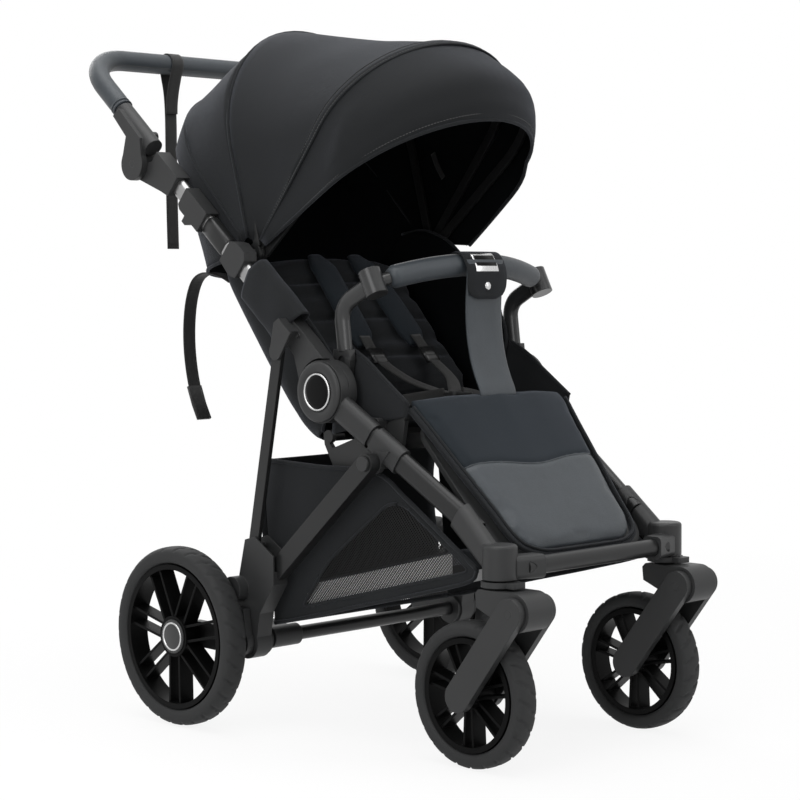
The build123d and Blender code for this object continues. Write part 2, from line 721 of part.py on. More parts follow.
# Handlebar: a bent tube with plastic sleeves and hinge cheeks at its ends
handle_plane = Plane(origin=(0, *push_point(0, handle_above)), x_dir=(1, 0, 0), z_dir=(0, -tilt_s, tilt_c))
button_along, button_d = 578.0, 18.0


def handle_loop(start, outer_d, inner_d):
    """Round section and path along the handle's three sides, from start along each arm."""
    with BuildLine(handle_plane) as loop:
        FilletPolyline((-handle_x, start), (-handle_x, handle_along), (handle_x, handle_along),
                       (handle_x, start),
                       radius=handle_bend_r)
    with BuildSketch(Plane(origin=loop.line @ 0, x_dir=(1, 0, 0), z_dir=loop.line % 0)) as section:
        Circle(outer_d / 2)
        if inner_d:
            Circle(inner_d / 2, mode=Mode.SUBTRACT)
    return section.sketch, loop.line


with BuildPart() as handlebar:
    handle_section, handle_path = handle_loop(handle_sleeve_start, handle_core_d, 0)
    sweep(handle_section, path=handle_path)
    for side in (-1, 1):
        sleeve_foot = (side * handle_x, *push_point(handle_sleeve_start, handle_above))
        sleeve_head = (side * handle_x, *push_point(grip_start, handle_above))
        with BuildSketch(toward(sleeve_foot, sleeve_head)):
            Circle(handle_sleeve_d / 2)
        extrude(amount=grip_start - handle_sleeve_start - 1)
        with BuildSketch(push_plane(side, cheek_in, cheek_out)):
            with BuildLine():
                Polyline((handle_pivot_along - 22, handle_pivot_above + 14),
                         (handle_pivot_along + 10, handle_above + 6),
                         (grip_start - 10, handle_above + 9), (grip_start - 6, handle_above - 9),
                         (handle_pivot_along + 40, handle_above - 14),
                         (handle_pivot_along + 22, handle_pivot_above - 14),
                         close=True)
            make_face()
            with Locations((handle_pivot_along, handle_pivot_above)):
                Circle(27)
                Circle(leg_pin_d / 2 + run_gap, mode=Mode.SUBTRACT)
        extrude(amount=cheek_out - cheek_in)
        hole_in = handle_x - handle_sleeve_d / 2 - 2
        with BuildSketch(push_plane(side, hole_in, handle_x, button_along, handle_above)):
            Circle(button_d / 2 + 0.3)
        extrude(amount=handle_x - hole_in, mode=Mode.SUBTRACT)
save(handlebar, "handlebar")

with BuildPart() as handle_grip:
    grip_section, grip_path = handle_loop(grip_start, grip_d, handle_core_d + 2 * run_gap)
    sweep(grip_section, path=grip_path)
save(handle_grip, "handle_grip")

# Tilt buttons on the inner faces of the handle's sleeves
for name, side in SIDES:
    with BuildPart() as handle_button:
        button_in, button_seat = handle_x - handle_sleeve_d / 2 - 6, handle_x - 4.5
        with BuildSketch(push_plane(side, button_in, button_seat, button_along, handle_above)):
            Circle(button_d / 2)
        extrude(amount=button_seat - button_in)
    save(handle_button, f"handle_button_{name}")

# Wrist strap: a loop round the grip with a hanging tail
grip_y, grip_z = push_point(handle_along, handle_above)
with BuildPart() as wrist_strap:
    strap_r = grip_d / 2 + soft_gap
    with BuildSketch(wheel_plane(wrist_strap_x, grip_y, grip_z)):
        Circle(strap_r + webbing_t)
        with Locations((0, -wrist_strap_drop / 2 - strap_r)):
            Rectangle(webbing_t, wrist_strap_drop)
        Circle(strap_r, mode=Mode.SUBTRACT)
    extrude(amount=webbing_w / 2, both=True)
save(wrist_strap, "wrist_strap")

# Canopy clamps on the push tubes, with the pins that the bows turn on
canopy_y, canopy_z = push_point(canopy_along, canopy_above)
bow_layer = bow_t + side_gap
rear_bow_out = arm_in
clamp_in, clamp_out = 203.2, 229.0
with BuildPart() as canopy_clamps:
    with BuildSketch(push_plane(-1, clamp_in, clamp_out)):
        with BuildLine():
            low, high = clamp_start, clamp_start + clamp_length
            Polyline((low, 6), (low + 14, 0), (high, 4), (high, 42), (canopy_along + 12, 50),
                     (canopy_along - 12, 50),
                     (low, 40), close=True)
        make_face()
    extrude(amount=clamp_out - clamp_in)
    pin_in = rear_bow_out - 3 * bow_layer
    with BuildSketch(push_plane(-1, pin_in, clamp_in, canopy_along, canopy_above)):
        Circle(canopy_pin_d / 2)
    extrude(amount=clamp_in - pin_in)
    extrude(push_tube_outline(-1, run_gap), amount=push_tube_end - push_tube_start, mode=Mode.SUBTRACT)
    mirror(about=Plane.YZ)
save(canopy_clamps, "canopy_clamps")


def canopy_plane(angle):
    """Plane through the canopy's hinge line, with local y out along the angle."""
    a = radians(angle)
    return Plane(origin=(0, canopy_y, canopy_z), x_dir=(1, 0, 0), z_dir=(0, -sin(a), cos(a)))


def arch(plane, half, top, foot, corner, thickness):
    """Closed arch of even thickness inside the half width and the top radius."""
    inner = half - thickness
    with BuildSketch(plane) as outline:
        with BuildLine():
            outside = FilletPolyline((-half, foot), (-half, top), (half, top), (half, foot), radius=corner)
            inside = FilletPolyline((-inner, foot), (-inner, top - thickness), (inner, top - thickness),
                                    (inner, foot),
                                    radius=corner - thickness)
            Line(outside @ 0, inside @ 0)
            Line(outside @ 1, inside @ 1)
        make_face()
    return outline.sketch


def make_bow(angle, layer, top, ahead, corner):
    """Bow: a flat hoop ahead of its angle, with a hinge eye at each end in its own layer on the pin."""
    half = rear_bow_out - layer * bow_layer
    with BuildPart() as bow:
        hoop = arch(canopy_plane(angle).offset(ahead), half, top, canopy_pin_d / 2 + 2,
                    min(corner, half - bow_layer), bow_t)
        extrude(hoop, amount=bow_w)
        for side in (-1, 1):
            with BuildSketch(side_plane(side, half - bow_t, half, canopy_y, canopy_z)):
                Circle(bow_disc_r)
            extrude(amount=bow_t)
        with BuildSketch(wheel_plane(0, canopy_y, canopy_z)):
            Circle(canopy_pin_d / 2 + run_gap)
        extrude(amount=half + 1, both=True, mode=Mode.SUBTRACT)
    return bow


def make_panel(*stations):
    """Cloth panel: an arched shell through its stations, each an angle, half width, radius and corner."""
    sections = []
    for angle, half, top, corner in stations:
        foot = canopy_foot_r if stations[0][0] < ridge_angle else canopy_front_foot_r
        sections.append(arch(canopy_plane(angle), half, top, foot, min(corner, top * 0.55), canopy_cloth_t))
    with BuildPart() as panel:
        loft(sections, ruled=True)
    return panel


bow_seat = canopy_cloth_t + 3.5 * soft_gap
panel_gap = 0.6         # degrees between panels
bow_corner_r = canopy_corner_r - bow_seat
rear_edge = (canopy_half, rear_bow_r, canopy_corner_r)
ridge_edge = ((canopy_half + canopy_front_half) / 2, ridge_r, ridge_corner_r)
front_edge = (canopy_front_half, front_bow_r, canopy_corner_r)
bows = (("canopy_rear_bow", rear_bow_angle, rear_bow_r - bow_w * 0.45, 1, bow_corner_r),
        ("canopy_ridge_bow", ridge_angle, ridge_r - bow_w * 0.35, -bow_w / 2, ridge_corner_r),
        ("canopy_front_bow", front_bow_angle, front_bow_r - bow_w * 0.3, 1, bow_corner_r))
for layer, (bow_name, angle, top, ahead, corner) in enumerate(bows):
    save(make_bow(angle, layer, top - bow_seat, ahead, corner), bow_name)
save(make_panel((back_foot_angle, canopy_front_half, back_foot_r, canopy_corner_r),
                (back_mid_angle, canopy_half, back_mid_r, canopy_corner_r),
                (back_seam_angle, canopy_half, back_seam_r, canopy_corner_r),
                (rear_bow_angle - panel_gap, *rear_edge)), "canopy_back")
save(make_panel((rear_bow_angle, *rear_edge), (ridge_angle - panel_gap, *ridge_edge)), "canopy_rear_panel")
save(make_panel((ridge_angle, *ridge_edge), (front_bow_angle - panel_gap, *front_edge)),
     "canopy_front_panel")
save(make_panel((front_bow_angle, *front_edge), (peak_angle, canopy_front_half, peak_r, canopy_corner_r),
                (brim_angle, canopy_front_half, brim_r, canopy_corner_r)), "canopy_visor")

# Seat base: a board with side plates on the front tubes and ears for the leg rest and the backrest
seat_slope = (seat_front_z - seat_rear_z) / (seat_rear_y - seat_front_y)
leg_c, leg_s = cos(radians(leg_rest_tilt)), sin(radians(leg_rest_tilt))
leg_rest_top_y = rear_axle_y - leg_rest_top_ahead


def leg_rest_point(down, below):
    """Y and Z of a point of the leg rest, down its slope and below its face."""
    return (leg_rest_top_y - down * leg_c + below * leg_s, leg_rest_top_z - down * leg_s - below * leg_c)


leg_hinge_down, leg_hinge_below = 10.0, 29.0
leg_hinge_y, leg_hinge_z = leg_rest_point(leg_hinge_down, leg_hinge_below)
ear_half_in, ear_half_out = 170.0, 178.0
with BuildPart() as seat_base:
    board_top = [(y, z - seat_thick - soft_gap) for y, z in ((seat_front_y, seat_front_z),
                                                             (seat_rear_y, seat_rear_z))]
    (y0, z0), (y1, z1) = board_top
    with BuildSketch(side_plane(-1, 0, ear_half_out, 0, 0)):
        with BuildLine():
            Polyline((y0, z0), (y1, z1), (y1, z1 - board_t), (y0, z0 - board_t), close=True)
        make_face()
    extrude(amount=2 * ear_half_out)
    for side in (-1, 1):
        with BuildSketch(side_plane(side, ear_half_in, ear_half_out, 0, 0)):
            with BuildLine():
                Polyline((y0 - 6, leg_hinge_z + 6), (y0 + 16, z0 + 6), (y1 + 6, z1 + 2),
                         (back_pivot_y + 10, back_pivot_z + 6),
                         (back_pivot_y + 8, back_pivot_z - 12), (y1 - 4, z1 - 40), (y0 + 20, z0 - 60),
                         (y0 - 14, z0 - 24),
                         (leg_hinge_y - 9, leg_hinge_z - 8), close=True)
            make_face()
            with Locations((leg_hinge_y, leg_hinge_z), (back_pivot_y, back_pivot_z)):
                Circle(10)
        extrude(amount=ear_half_out - ear_half_in)
        for y, z in ((leg_hinge_y, leg_hinge_z), (back_pivot_y, back_pivot_z)):
            with BuildSketch(side_plane(side, ear_half_in - 24, ear_half_out, y, z)):
                Circle(hinge_pin_d / 2)
            extrude(amount=ear_half_out - ear_half_in + 24)
    rest_share = 0.25
    tube_x, tube_y, tube_z = front_point(rest_share, 1)
    rest_out = tube_x - sleeve_w / 2 - 2.6 - soft_gap
    for side in (-1, 1):
        with BuildSketch(side_plane(side, ear_half_out - 4, rest_out, tube_y, tube_z)):
            RectangleRounded(36, 24, 5)
        extrude(amount=rest_out - ear_half_out + 4)
save(seat_base, "seat_base")


def crowned(plane, half, low, rim, crown):
    """Cushion section: flat below, upright at the sides and crowned above."""
    with BuildSketch(plane) as outline:
        with BuildLine():
            Line((-half, low), (half, low))
            Line((half, low), (half, rim))
            ThreePointArc((half, rim), (0, crown), (-half, rim))
            Line((-half, rim), (-half, low))
        make_face()
    return outline.sketch


# Seat pad: crowned, drawn in at its sides and sunk at a sewn channel across its middle
with BuildPart() as seat_pad:
    pad_length = seat_rear_y - seat_front_y
    sections = []
    for share, half, drop in ((0, 0.94, 16), (0.12, 1, 5), (0.45, 0.975, 2), (0.52, 0.97, 6),
                              (0.59, 0.975, 2),
                              (0.88, 1, 4), (1, 0.95, 14)):
        y = seat_front_y + pad_length * share
        top = seat_front_z - seat_slope * (y - seat_front_y)
        base = top - seat_thick
        section_plane = Plane(origin=(0, y, 0), x_dir=(1, 0, 0), z_dir=(0, -1, 0))
        sections.append(crowned(section_plane, seat_half * half, base, top - drop - 10, top - drop))
    loft(sections, ruled=True)
save(seat_pad, "seat_pad")

# Backrest: a board with hinge barrels, the cloth shell round its back and sides, and its pad
back_c, back_s = cos(radians(back_tilt)), sin(radians(back_tilt))
back_plane = Plane(origin=(0, back_pivot_y, back_pivot_z), x_dir=(1, 0, 0), z_dir=(0, -back_s, back_c))
wing_half, wing_low, wing_high = 173.5, 118.0, 286.0
shell_half, shell_t = 176.5, 4.5
shell_stations = ((32, 46, 6), (64, 52, 34), (110, 54, 60), (184, 53, 54), (264, 50, 42), (332, 42, 29))
with BuildPart() as backrest_board:
    with BuildSketch(back_plane):
        with BuildLine():
            Polyline((-back_half, 12), (-back_half, wing_low), (-wing_half, wing_low + 20),
                     (-wing_half, wing_high - 10),
                     (-back_half, wing_high), (-back_half + 30, back_length), (back_half - 30, back_length),
                     (back_half, wing_high), (wing_half, wing_high - 10), (wing_half, wing_low + 20),
                     (back_half, wing_low), (back_half, 12), close=True)
        make_face()
    extrude(amount=board_t)
    barrel_half = ear_half_in - side_gap
    with BuildSketch(wheel_plane(0, back_pivot_y, back_pivot_z)):
        Circle(9)
    extrude(amount=barrel_half, both=True)
    with BuildSketch(Plane(origin=back_plane.origin, x_dir=(1, 0, 0), z_dir=back_plane.z_dir)):
        with Locations((0, 9)):
            Rectangle(2 * back_half - 6, 14)
    extrude(amount=board_t)
    with BuildSketch(wheel_plane(0, back_pivot_y, back_pivot_z)):
        Circle(hinge_pin_d / 2 + run_gap)
    extrude(amount=barrel_half, both=True, mode=Mode.SUBTRACT)
    sections = []
    for up, behind, wing in shell_stations:
        shell_plane = Plane(origin=(0, back_pivot_y + up * back_c, back_pivot_z + up * back_s),
                            x_dir=(1, 0, 0), z_dir=(0, back_c, back_s))
        sections.append(arch(shell_plane, shell_half, behind, -wing, behind * 0.8, shell_t))
    loft(sections, ruled=True)
save(backrest_board, "backrest_board")

with BuildPart() as backrest_pad:
    pad_foot, pad_head = 44.0, back_length + 8
    sections = []
    for share, half, drop in ((0, 0.9, 16), (0.1, 0.97, 5), (0.3, 0.96, 2), (0.36, 0.95, 7),
                              (0.42, 0.96, 2), (0.62, 0.95, 2),
                              (0.68, 0.94, 7), (0.74, 0.95, 2), (0.92, 0.93, 4), (1, 0.82, 16)):
        up = pad_foot + (pad_head - pad_foot) * share
        section_plane = Plane(origin=(0, back_pivot_y + up * back_c, back_pivot_z + up * back_s),
                              x_dir=(1, 0, 0), z_dir=(0, -back_c, -back_s))
        low = board_t + soft_gap
        high = low + back_pad_t - drop
        sections.append(crowned(section_plane, back_half * half, low, high - 10, high))
    loft(sections, ruled=True)
save(backrest_pad, "backrest_pad")

# Recline strap: webbing from the back of the shell's right side, hanging in a curve
strap_route = ((33, 694), (46, 713), (68, 721), (91, 707), (112, 670),
               (130, 620), (134, 560), (122, 506), (100, 470))
strap_x_in, strap_x_out = 113.0, 113.0 + webbing_w
with BuildPart() as recline_strap:
    with BuildSketch(side_plane(-1, strap_x_in, strap_x_out, 0, 0)):
        with BuildLine() as strap_line:
            FilletPolyline([(rear_axle_y + behind, z) for behind, z in strap_route], radius=9)
        trace(strap_line.line, line_width=webbing_t)
    extrude(amount=webbing_w)
save(recline_strap, "recline_strap")

# Leg rest: a hinged board, its pad and the lower cover
leg_rest_plane = Plane(origin=(0, *leg_rest_point(0, 0)), x_dir=(1, 0, 0), z_dir=(0, -leg_s, leg_c))
with BuildPart() as leg_rest_board:
    board_face = leg_rest_plane.offset(-leg_rest_pad_t - soft_gap)
    with BuildSketch(board_face):
        with Locations((0, -(leg_rest_length + 22) / 2)):
            RectangleRounded(2 * leg_rest_half - 24, leg_rest_length - 30, 40)
    extrude(amount=-board_t)
    with BuildSketch(wheel_plane(0, leg_hinge_y, leg_hinge_z)):
        Circle(8)
    extrude(amount=ear_half_in - side_gap, both=True)
    with BuildSketch(board_face):
        with Locations((0, -leg_hinge_down - 20)):
            Rectangle(2 * leg_rest_half - 120, 40)
    extrude(amount=-board_t)
    with BuildSketch(wheel_plane(0, leg_hinge_y, leg_hinge_z)):
        Circle(hinge_pin_d / 2 + run_gap)
    extrude(amount=ear_half_in, both=True, mode=Mode.SUBTRACT)
save(leg_rest_board, "leg_rest_board")


def leg_rest_cushion(name, stations):
    """Crowned cushion on the leg rest through its stations: way down, half width and edge drop."""
    sections = []
    for down, half, drop in stations:
        section_plane = Plane(origin=(0, *leg_rest_point(down, leg_rest_pad_t)), x_dir=(1, 0, 0),
                              z_dir=(0, leg_c, leg_s))
        sections.append(crowned(section_plane, half, 0, drop + 7 - leg_rest_pad_t, drop - leg_rest_pad_t))
    with BuildPart() as cushion:
        loft(sections, ruled=True)
    save(cushion, name)


leg_rest_cushion("leg_rest_pad", ((19, leg_rest_half - 8, 9), (34, leg_rest_half, 2),
                                  (leg_rest_seam - 26, leg_rest_half - 3, 0),
                                  (leg_rest_seam - 0.5, leg_rest_half - 4, 6)))
leg_rest_cushion("leg_rest_cover", ((leg_rest_seam, leg_rest_half - 4, 6),
                                    (leg_rest_seam + 18, leg_rest_half - 10, 0),
                                    (leg_rest_length - 70, leg_rest_half - 16, 0),
                                    (leg_rest_length - 24, leg_rest_half - 46, 2),
                                    (leg_rest_length, leg_rest_half - 72, 10)))

# Bumper: release buttons, the bar with its arms and hub adaptors, and the padded cover
base_y, base_z = rear_axle_y - bumper_base_ahead, bumper_base_z
bumper_mid = (bumper_in + bumper_out) / 2
knuckle_y = rear_axle_y - knuckle_ahead
bumper_front_y = rear_axle_y - bumper_front_ahead
for name, side in SIDES:
    with BuildPart() as bumper_button:
        button_x_in = bumper_in - 2.5
        with BuildSketch(side_plane(side, button_x_in, bumper_out - 4, base_y, base_z - 22)):
            SlotOverall(24, 14, rotation=90)
        extrude(amount=bumper_out - 4 - button_x_in)
    save(bumper_button, f"bumper_button_{name}")

elbow_y = rear_axle_y - bumper_elbow_ahead
arm_top_inset = 2.0
with BuildPart() as bumper_frame:
    arm_x = bumper_mid - arm_top_inset
    for side in (-1, 1):
        with BuildSketch(side_plane(side, bumper_in, bumper_out, hub_y, hub_z)):
            Circle(26)
            with BuildLine():
                Polyline((-24, 10), (base_y - hub_y - 19, base_z - hub_z - 16),
                         (base_y - hub_y - 17, base_z - hub_z),
                         (base_y - hub_y + 17, base_z - hub_z),
                         (base_y - hub_y + 19, base_z - hub_z - 16), (24, 10), close=True)
            make_face()
            Circle(hub_pin_d / 2 + run_gap, mode=Mode.SUBTRACT)
            with Locations((base_y - hub_y, base_z - hub_z - 22)):
                SlotOverall(24.6, 14.6, rotation=90, mode=Mode.SUBTRACT)
        extrude(amount=bumper_out - bumper_in)
        with BuildLine() as arm_line:
            FilletPolyline((side * arm_x, base_y, base_z - 3), (side * arm_x, elbow_y, bumper_elbow_z),
                           (side * knuckle_x, knuckle_y, knuckle_z), radius=34)
        with BuildSketch(Plane(origin=arm_line.line @ 0, x_dir=(1, 0, 0), z_dir=arm_line.line % 0)):
            Ellipse(bumper_tube_d / 2 - 3, bumper_tube_d / 2 + 2)
        sweep(path=arm_line.line)
        with BuildSketch(Plane(origin=(side * knuckle_x, knuckle_y - 0.45 * knuckle_h / 2,
                                       knuckle_z - 0.9 * knuckle_h / 2),
                               x_dir=(1, 0, 0), z_dir=(0, 0.45, 0.9))):
            Circle(knuckle_d / 2)
        extrude(amount=knuckle_h)
    with BuildLine() as bar_line:
        ThreePointArc((-knuckle_x, knuckle_y, knuckle_z), (0, bumper_front_y, bumper_front_z),
                      (knuckle_x, knuckle_y, knuckle_z))
    with BuildSketch(Plane(origin=bar_line.line @ 0, z_dir=bar_line.line % 0)):
        Circle(bumper_tube_d / 2 - 2)
    sweep(path=bar_line.line)
save(bumper_frame, "bumper_frame")

bar_edge = bar_line.line.edges()[0]
cover_share = 0.07
with BuildPart() as bumper_cover:
    cover_line = bar_edge.trim(cover_share, 1 - cover_share)
    with BuildSketch(Plane(origin=cover_line @ 0, z_dir=cover_line % 0)):
        Circle(bumper_cover_d / 2)
        Circle(bumper_tube_d / 2 - 2 + run_gap, mode=Mode.SUBTRACT)
    sweep(path=cover_line)
save(bumper_cover, "bumper_cover")

# Crotch strap from the bar's front down to the seat's front edge
with BuildPart() as crotch_strap:
    strap_top_y = bumper_front_y - bumper_cover_d / 2 - crotch_strap_t / 2 - soft_gap
    foot_y = leg_rest_top_y - 2
    foot_z = leg_rest_top_z + 8
    with BuildSketch(side_plane(-1, 0, crotch_strap_w / 2, 0, 0)):
        with BuildLine() as crotch_line:
            FilletPolyline((strap_top_y, bumper_front_z + 10), (strap_top_y, bumper_front_z - 22),
                           (strap_top_y + 8, (bumper_front_z + foot_z) / 2), (foot_y, foot_z),
                           (seat_front_y + 18, foot_z + 2),
                           radius=12)
        trace(crotch_line.line, line_width=crotch_strap_t)
    extrude(amount=crotch_strap_w)
save(crotch_strap, "crotch_strap")

# Buckle on the seat, with its press button
buckle_ahead, buckle_w, buckle_h, buckle_t = 325.0, 44.0, 16.0, 40.0
with BuildPart() as buckle:
    buckle_y = rear_axle_y - buckle_ahead
    buckle_z = seat_front_z - seat_slope * (buckle_y - seat_front_y) + 2
    with BuildSketch(Plane(origin=(0, buckle_y, buckle_z))):
        RectangleRounded(buckle_w, buckle_t, 8)
    extrude(amount=buckle_h)
    with BuildSketch(Plane(origin=(0, buckle_y, buckle_z + 6))):
        Circle(11.3)
    extrude(amount=buckle_h, mode=Mode.SUBTRACT)
save(buckle, "buckle")

with BuildPart() as buckle_button:
    with BuildSketch(Plane(origin=(0, buckle_y, buckle_z + 9))):
        Circle(11)
    extrude(amount=buckle_h - 8)
save(buckle_button, "buckle_button")

# Basket: an open-topped bag with tabs to the legs and to the corner brackets
basket_points = (
    (basket_rear_ahead, basket_rear_top_z), (basket_rear_low_ahead, basket_rear_low_z),
    (basket_belly_ahead, basket_belly_z), (basket_front_low_ahead, basket_front_low_z),
    (basket_front_ahead, basket_front_top_z),
    (basket_bend_ahead, basket_rear_top_z),
)
with BuildPart() as basket:
    with BuildSketch(side_plane(-1, 0, basket_half, 0, 0)):
        with BuildLine():
            Polyline([(rear_axle_y - ahead, z) for ahead, z in basket_points], close=True)
        make_face()
    extrude(amount=2 * basket_half)
    with BuildSketch(side_plane(-1, 0, basket_half - basket_wall, 0, 0)):
        with BuildLine():
            Polyline((rear_axle_y - basket_rear_ahead - basket_wall, basket_rear_top_z + 5),
                     (rear_axle_y - basket_rear_low_ahead - basket_wall, basket_rear_low_z + basket_wall),
                     (rear_axle_y - basket_belly_ahead, basket_belly_z + basket_wall + 0.5),
                     (rear_axle_y - basket_front_low_ahead + basket_wall, basket_front_low_z + basket_wall),
                     (rear_axle_y - basket_front_ahead + basket_wall, basket_front_top_z + 5),
                     (rear_axle_y - basket_front_ahead + basket_wall, basket_rear_top_z + 5), close=True)
        make_face()
    extrude(amount=2 * (basket_half - basket_wall), mode=Mode.SUBTRACT)
    tab_y = rear_axle_y - 250
    tab_share = (leg_pivot_ahead - 250) / (leg_pivot_ahead - leg_foot_ahead)
    tab_z = leg_pivot_z + (leg_foot_z - leg_pivot_z) * tab_share
    for side in (-1, 1):
        with BuildSketch(side_plane(side, basket_half - basket_wall, leg_in - soft_gap, tab_y, tab_z)):
            Rectangle(30, 6)
        extrude(amount=leg_in - soft_gap - basket_half + basket_wall)
    for side in (-1, 1):
        tab_reach = cross_ahead - cross_d / 2 - soft_gap - basket_front_ahead + 4
        with BuildSketch(Plane(origin=(side * 70, rear_axle_y - basket_front_ahead + 4 - tab_reach / 2,
                                       basket_front_top_z - 8))):
            Rectangle(34, tab_reach)
        extrude(amount=6)
save(basket, "basket")
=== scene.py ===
# %% [markdown]
# # A baby stroller, dressed around its solids
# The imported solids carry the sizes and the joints. This lesson adds what a maker adds last: cloth,
# padding, leatherette, webbing, tread, stitching and the finishes of metal and plastic.
# Everything is in metres, in the frame of the solids, so no piece has to be fitted afterwards.

# %% Load the solids
import json
import math

import bpy
import numpy as np
from mathutils import Matrix, Vector, noise
from mathutils.geometry import intersect_point_line


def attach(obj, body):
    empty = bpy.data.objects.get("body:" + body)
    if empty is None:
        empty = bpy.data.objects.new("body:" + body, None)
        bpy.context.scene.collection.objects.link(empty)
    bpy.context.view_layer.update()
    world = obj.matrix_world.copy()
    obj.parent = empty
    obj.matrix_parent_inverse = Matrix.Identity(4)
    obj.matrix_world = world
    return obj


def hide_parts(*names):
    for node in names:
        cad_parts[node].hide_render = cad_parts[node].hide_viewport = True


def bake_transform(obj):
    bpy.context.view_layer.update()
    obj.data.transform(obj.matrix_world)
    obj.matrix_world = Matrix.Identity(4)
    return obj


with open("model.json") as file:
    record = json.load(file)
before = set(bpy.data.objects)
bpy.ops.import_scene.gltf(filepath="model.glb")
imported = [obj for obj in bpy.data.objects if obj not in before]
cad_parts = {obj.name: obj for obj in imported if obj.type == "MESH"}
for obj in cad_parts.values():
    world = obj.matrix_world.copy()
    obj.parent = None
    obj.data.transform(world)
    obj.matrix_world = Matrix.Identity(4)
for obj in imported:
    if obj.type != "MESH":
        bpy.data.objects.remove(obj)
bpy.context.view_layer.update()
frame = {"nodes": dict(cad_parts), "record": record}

# %% [markdown]
# ## Measuring points
# The stroller was measured in millimetres from the middle of the rear axle, at the floor, with the
# front towards -Y. The push frame, the backrest and the leg rest are tilted, so each gets a small
# function that turns "along, out, across" into a point. That keeps the numbers readable.

# %% Points on the stroller
REAR_AXLE_Y = 0.1622325
FOLD_HUB, PUSH_TILT = (-263, 528), math.radians(40.4)
BACK_HINGE, BACK_ALONG, BACK_OUT = (-227, 457), (0.656, 0.755), (-0.755, 0.656)
LEG_HINGE, LEG_ALONG, LEG_OUT = (-397, 522), (-0.674, -0.738), (-0.738, 0.674)
ACROSS = Vector((1, 0, 0))
SIDES = (("right", -1), ("left", 1))


def at(x, y, z):
    """A point in metres from millimetres across, behind the rear axle and above the floor."""
    return Vector((x / 1000, y / 1000 + REAR_AXLE_Y, z / 1000))


def on_push(along, above, x):
    """A point by its place along and above the push frame, from the fold hub."""
    c, s = math.cos(PUSH_TILT), math.sin(PUSH_TILT)
    return at(x, FOLD_HUB[0] + along * c - above * s, FOLD_HUB[1] + along * s + above * c)


def tilted(hinge, along, out, a, b, x):
    """A point by its distances along two tilted axes from a hinge."""
    return at(x, hinge[0] + a * along[0] + b * out[0], hinge[1] + a * along[1] + b * out[1])


def on_back(up, out, x):
    """A point by its place up the backrest from its hinge, and out towards the child."""
    return tilted(BACK_HINGE, BACK_ALONG, BACK_OUT, up, out, x)


def on_leg(down, out, x):
    """A point by its place down the leg rest from its top, and out from its board."""
    return tilted(LEG_HINGE, LEG_ALONG, LEG_OUT, down, out, x)


print("hub", tuple(on_push(0, 0, 0)), "top of the back", tuple(on_back(340, 0, 0)))

# %% [markdown]
# ## Mesh helpers
# Cloth, straps and piping are all strips of points, so most pieces come from one helper that skins
# rows of points with quads. A modifier is applied as soon as it is added, because the blends and the
# export need finished meshes. A Catmull-Rom curve rounds the few points that were measured.


# %% Skins, modifiers and smooth paths
def new_piece(name, points, faces, finish):
    """A smooth-shaded mesh object made from points and faces, with one finish."""
    mesh = bpy.data.meshes.new(name)
    mesh.from_pydata([tuple(p) for p in points], [], faces)
    mesh.materials.append(finish)
    mesh.polygons.foreach_set("use_smooth", [True] * len(mesh.polygons))
    mesh.update()
    piece = bpy.data.objects.new(name, mesh)
    bpy.context.collection.objects.link(piece)
    return piece


def shaped(piece, kind, **settings):
    """Adds one modifier and applies it at once."""
    modifier = piece.modifiers.new(kind.lower(), kind)
    for key, value in settings.items():
        setattr(modifier, key, value)
    graph = bpy.context.evaluated_depsgraph_get()
    mesh = bpy.data.meshes.new_from_object(piece.evaluated_get(graph), depsgraph=graph)
    mesh.polygons.foreach_set("use_smooth", [True] * len(mesh.polygons))
    old, name = piece.data, piece.name
    piece.modifiers.clear()
    piece.data = mesh
    bpy.data.meshes.remove(old)
    mesh.name = name
    return piece


def skin(name, rows, finish, ring=False, capped=False, thick=0.0):
    """Quads between rows of points. A ring closes each row, and a sheet gets its thickness."""
    wide = len(rows[0])
    points = [p for row in rows for p in row]
    faces = []
    for i in range(len(rows) - 1):
        for j in range(wide if ring else wide - 1):
            k = (j + 1) % wide
            faces.append((i * wide + j, i * wide + k, (i + 1) * wide + k, (i + 1) * wide + j))
    if capped:
        last = (len(rows) - 1) * wide
        faces += [tuple(range(wide))[::-1], tuple(last + j for j in range(wide))]
    piece = new_piece(name, points, faces, finish)
    if thick:
        shaped(piece, "SOLIDIFY", thickness=thick, offset=0)
    return piece


def flowing(points, steps):
    """A Catmull-Rom curve through the points, with that many steps between each pair."""
    points = [Vector(p) for p in points]
    ends = [2 * points[0] - points[1]] + points + [2 * points[-1] - points[-2]]
    path = []
    for a, b, c, d in zip(ends, ends[1:], ends[2:], ends[3:]):
        for k in range(steps):
            t = k / steps
            path.append(0.5 * (2 * b + (c - a) * t + (2 * a - 5 * b + 4 * c - d) * t * t
                               + (3 * b - a - 3 * c + d) * t ** 3))
    return path + [points[-1]]


def tangents(path):
    """The direction of a path at each of its points."""
    last = len(path) - 1
    return [(path[min(i + 1, last)] - path[max(i - 1, 0)]).normalized() for i in range(len(path))]


def outward(way):
    """The direction square to a path that runs up and down the stroller's middle plane."""
    return way.cross(ACROSS).normalized()


def around(sides):
    """The angles of that many points round a section."""
    return [2 * math.pi * k / sides for k in range(sides)]


def blunt(value, power):
    """A sine or cosine drawn towards 1 or -1, which squares a round section."""
    return math.copysign(abs(value) ** power, value)


def joined(name, pieces):
    """Several meshes with one finish as a single piece."""
    points, faces = [], []
    for piece in pieces:
        first = len(points)
        points += [v.co.copy() for v in piece.data.vertices]
        faces += [[first + k for k in face.vertices] for face in piece.data.polygons]
    finish = pieces[0].data.materials[0]
    for piece in pieces:
        bpy.data.objects.remove(piece)
    return new_piece(name, points, faces, finish)


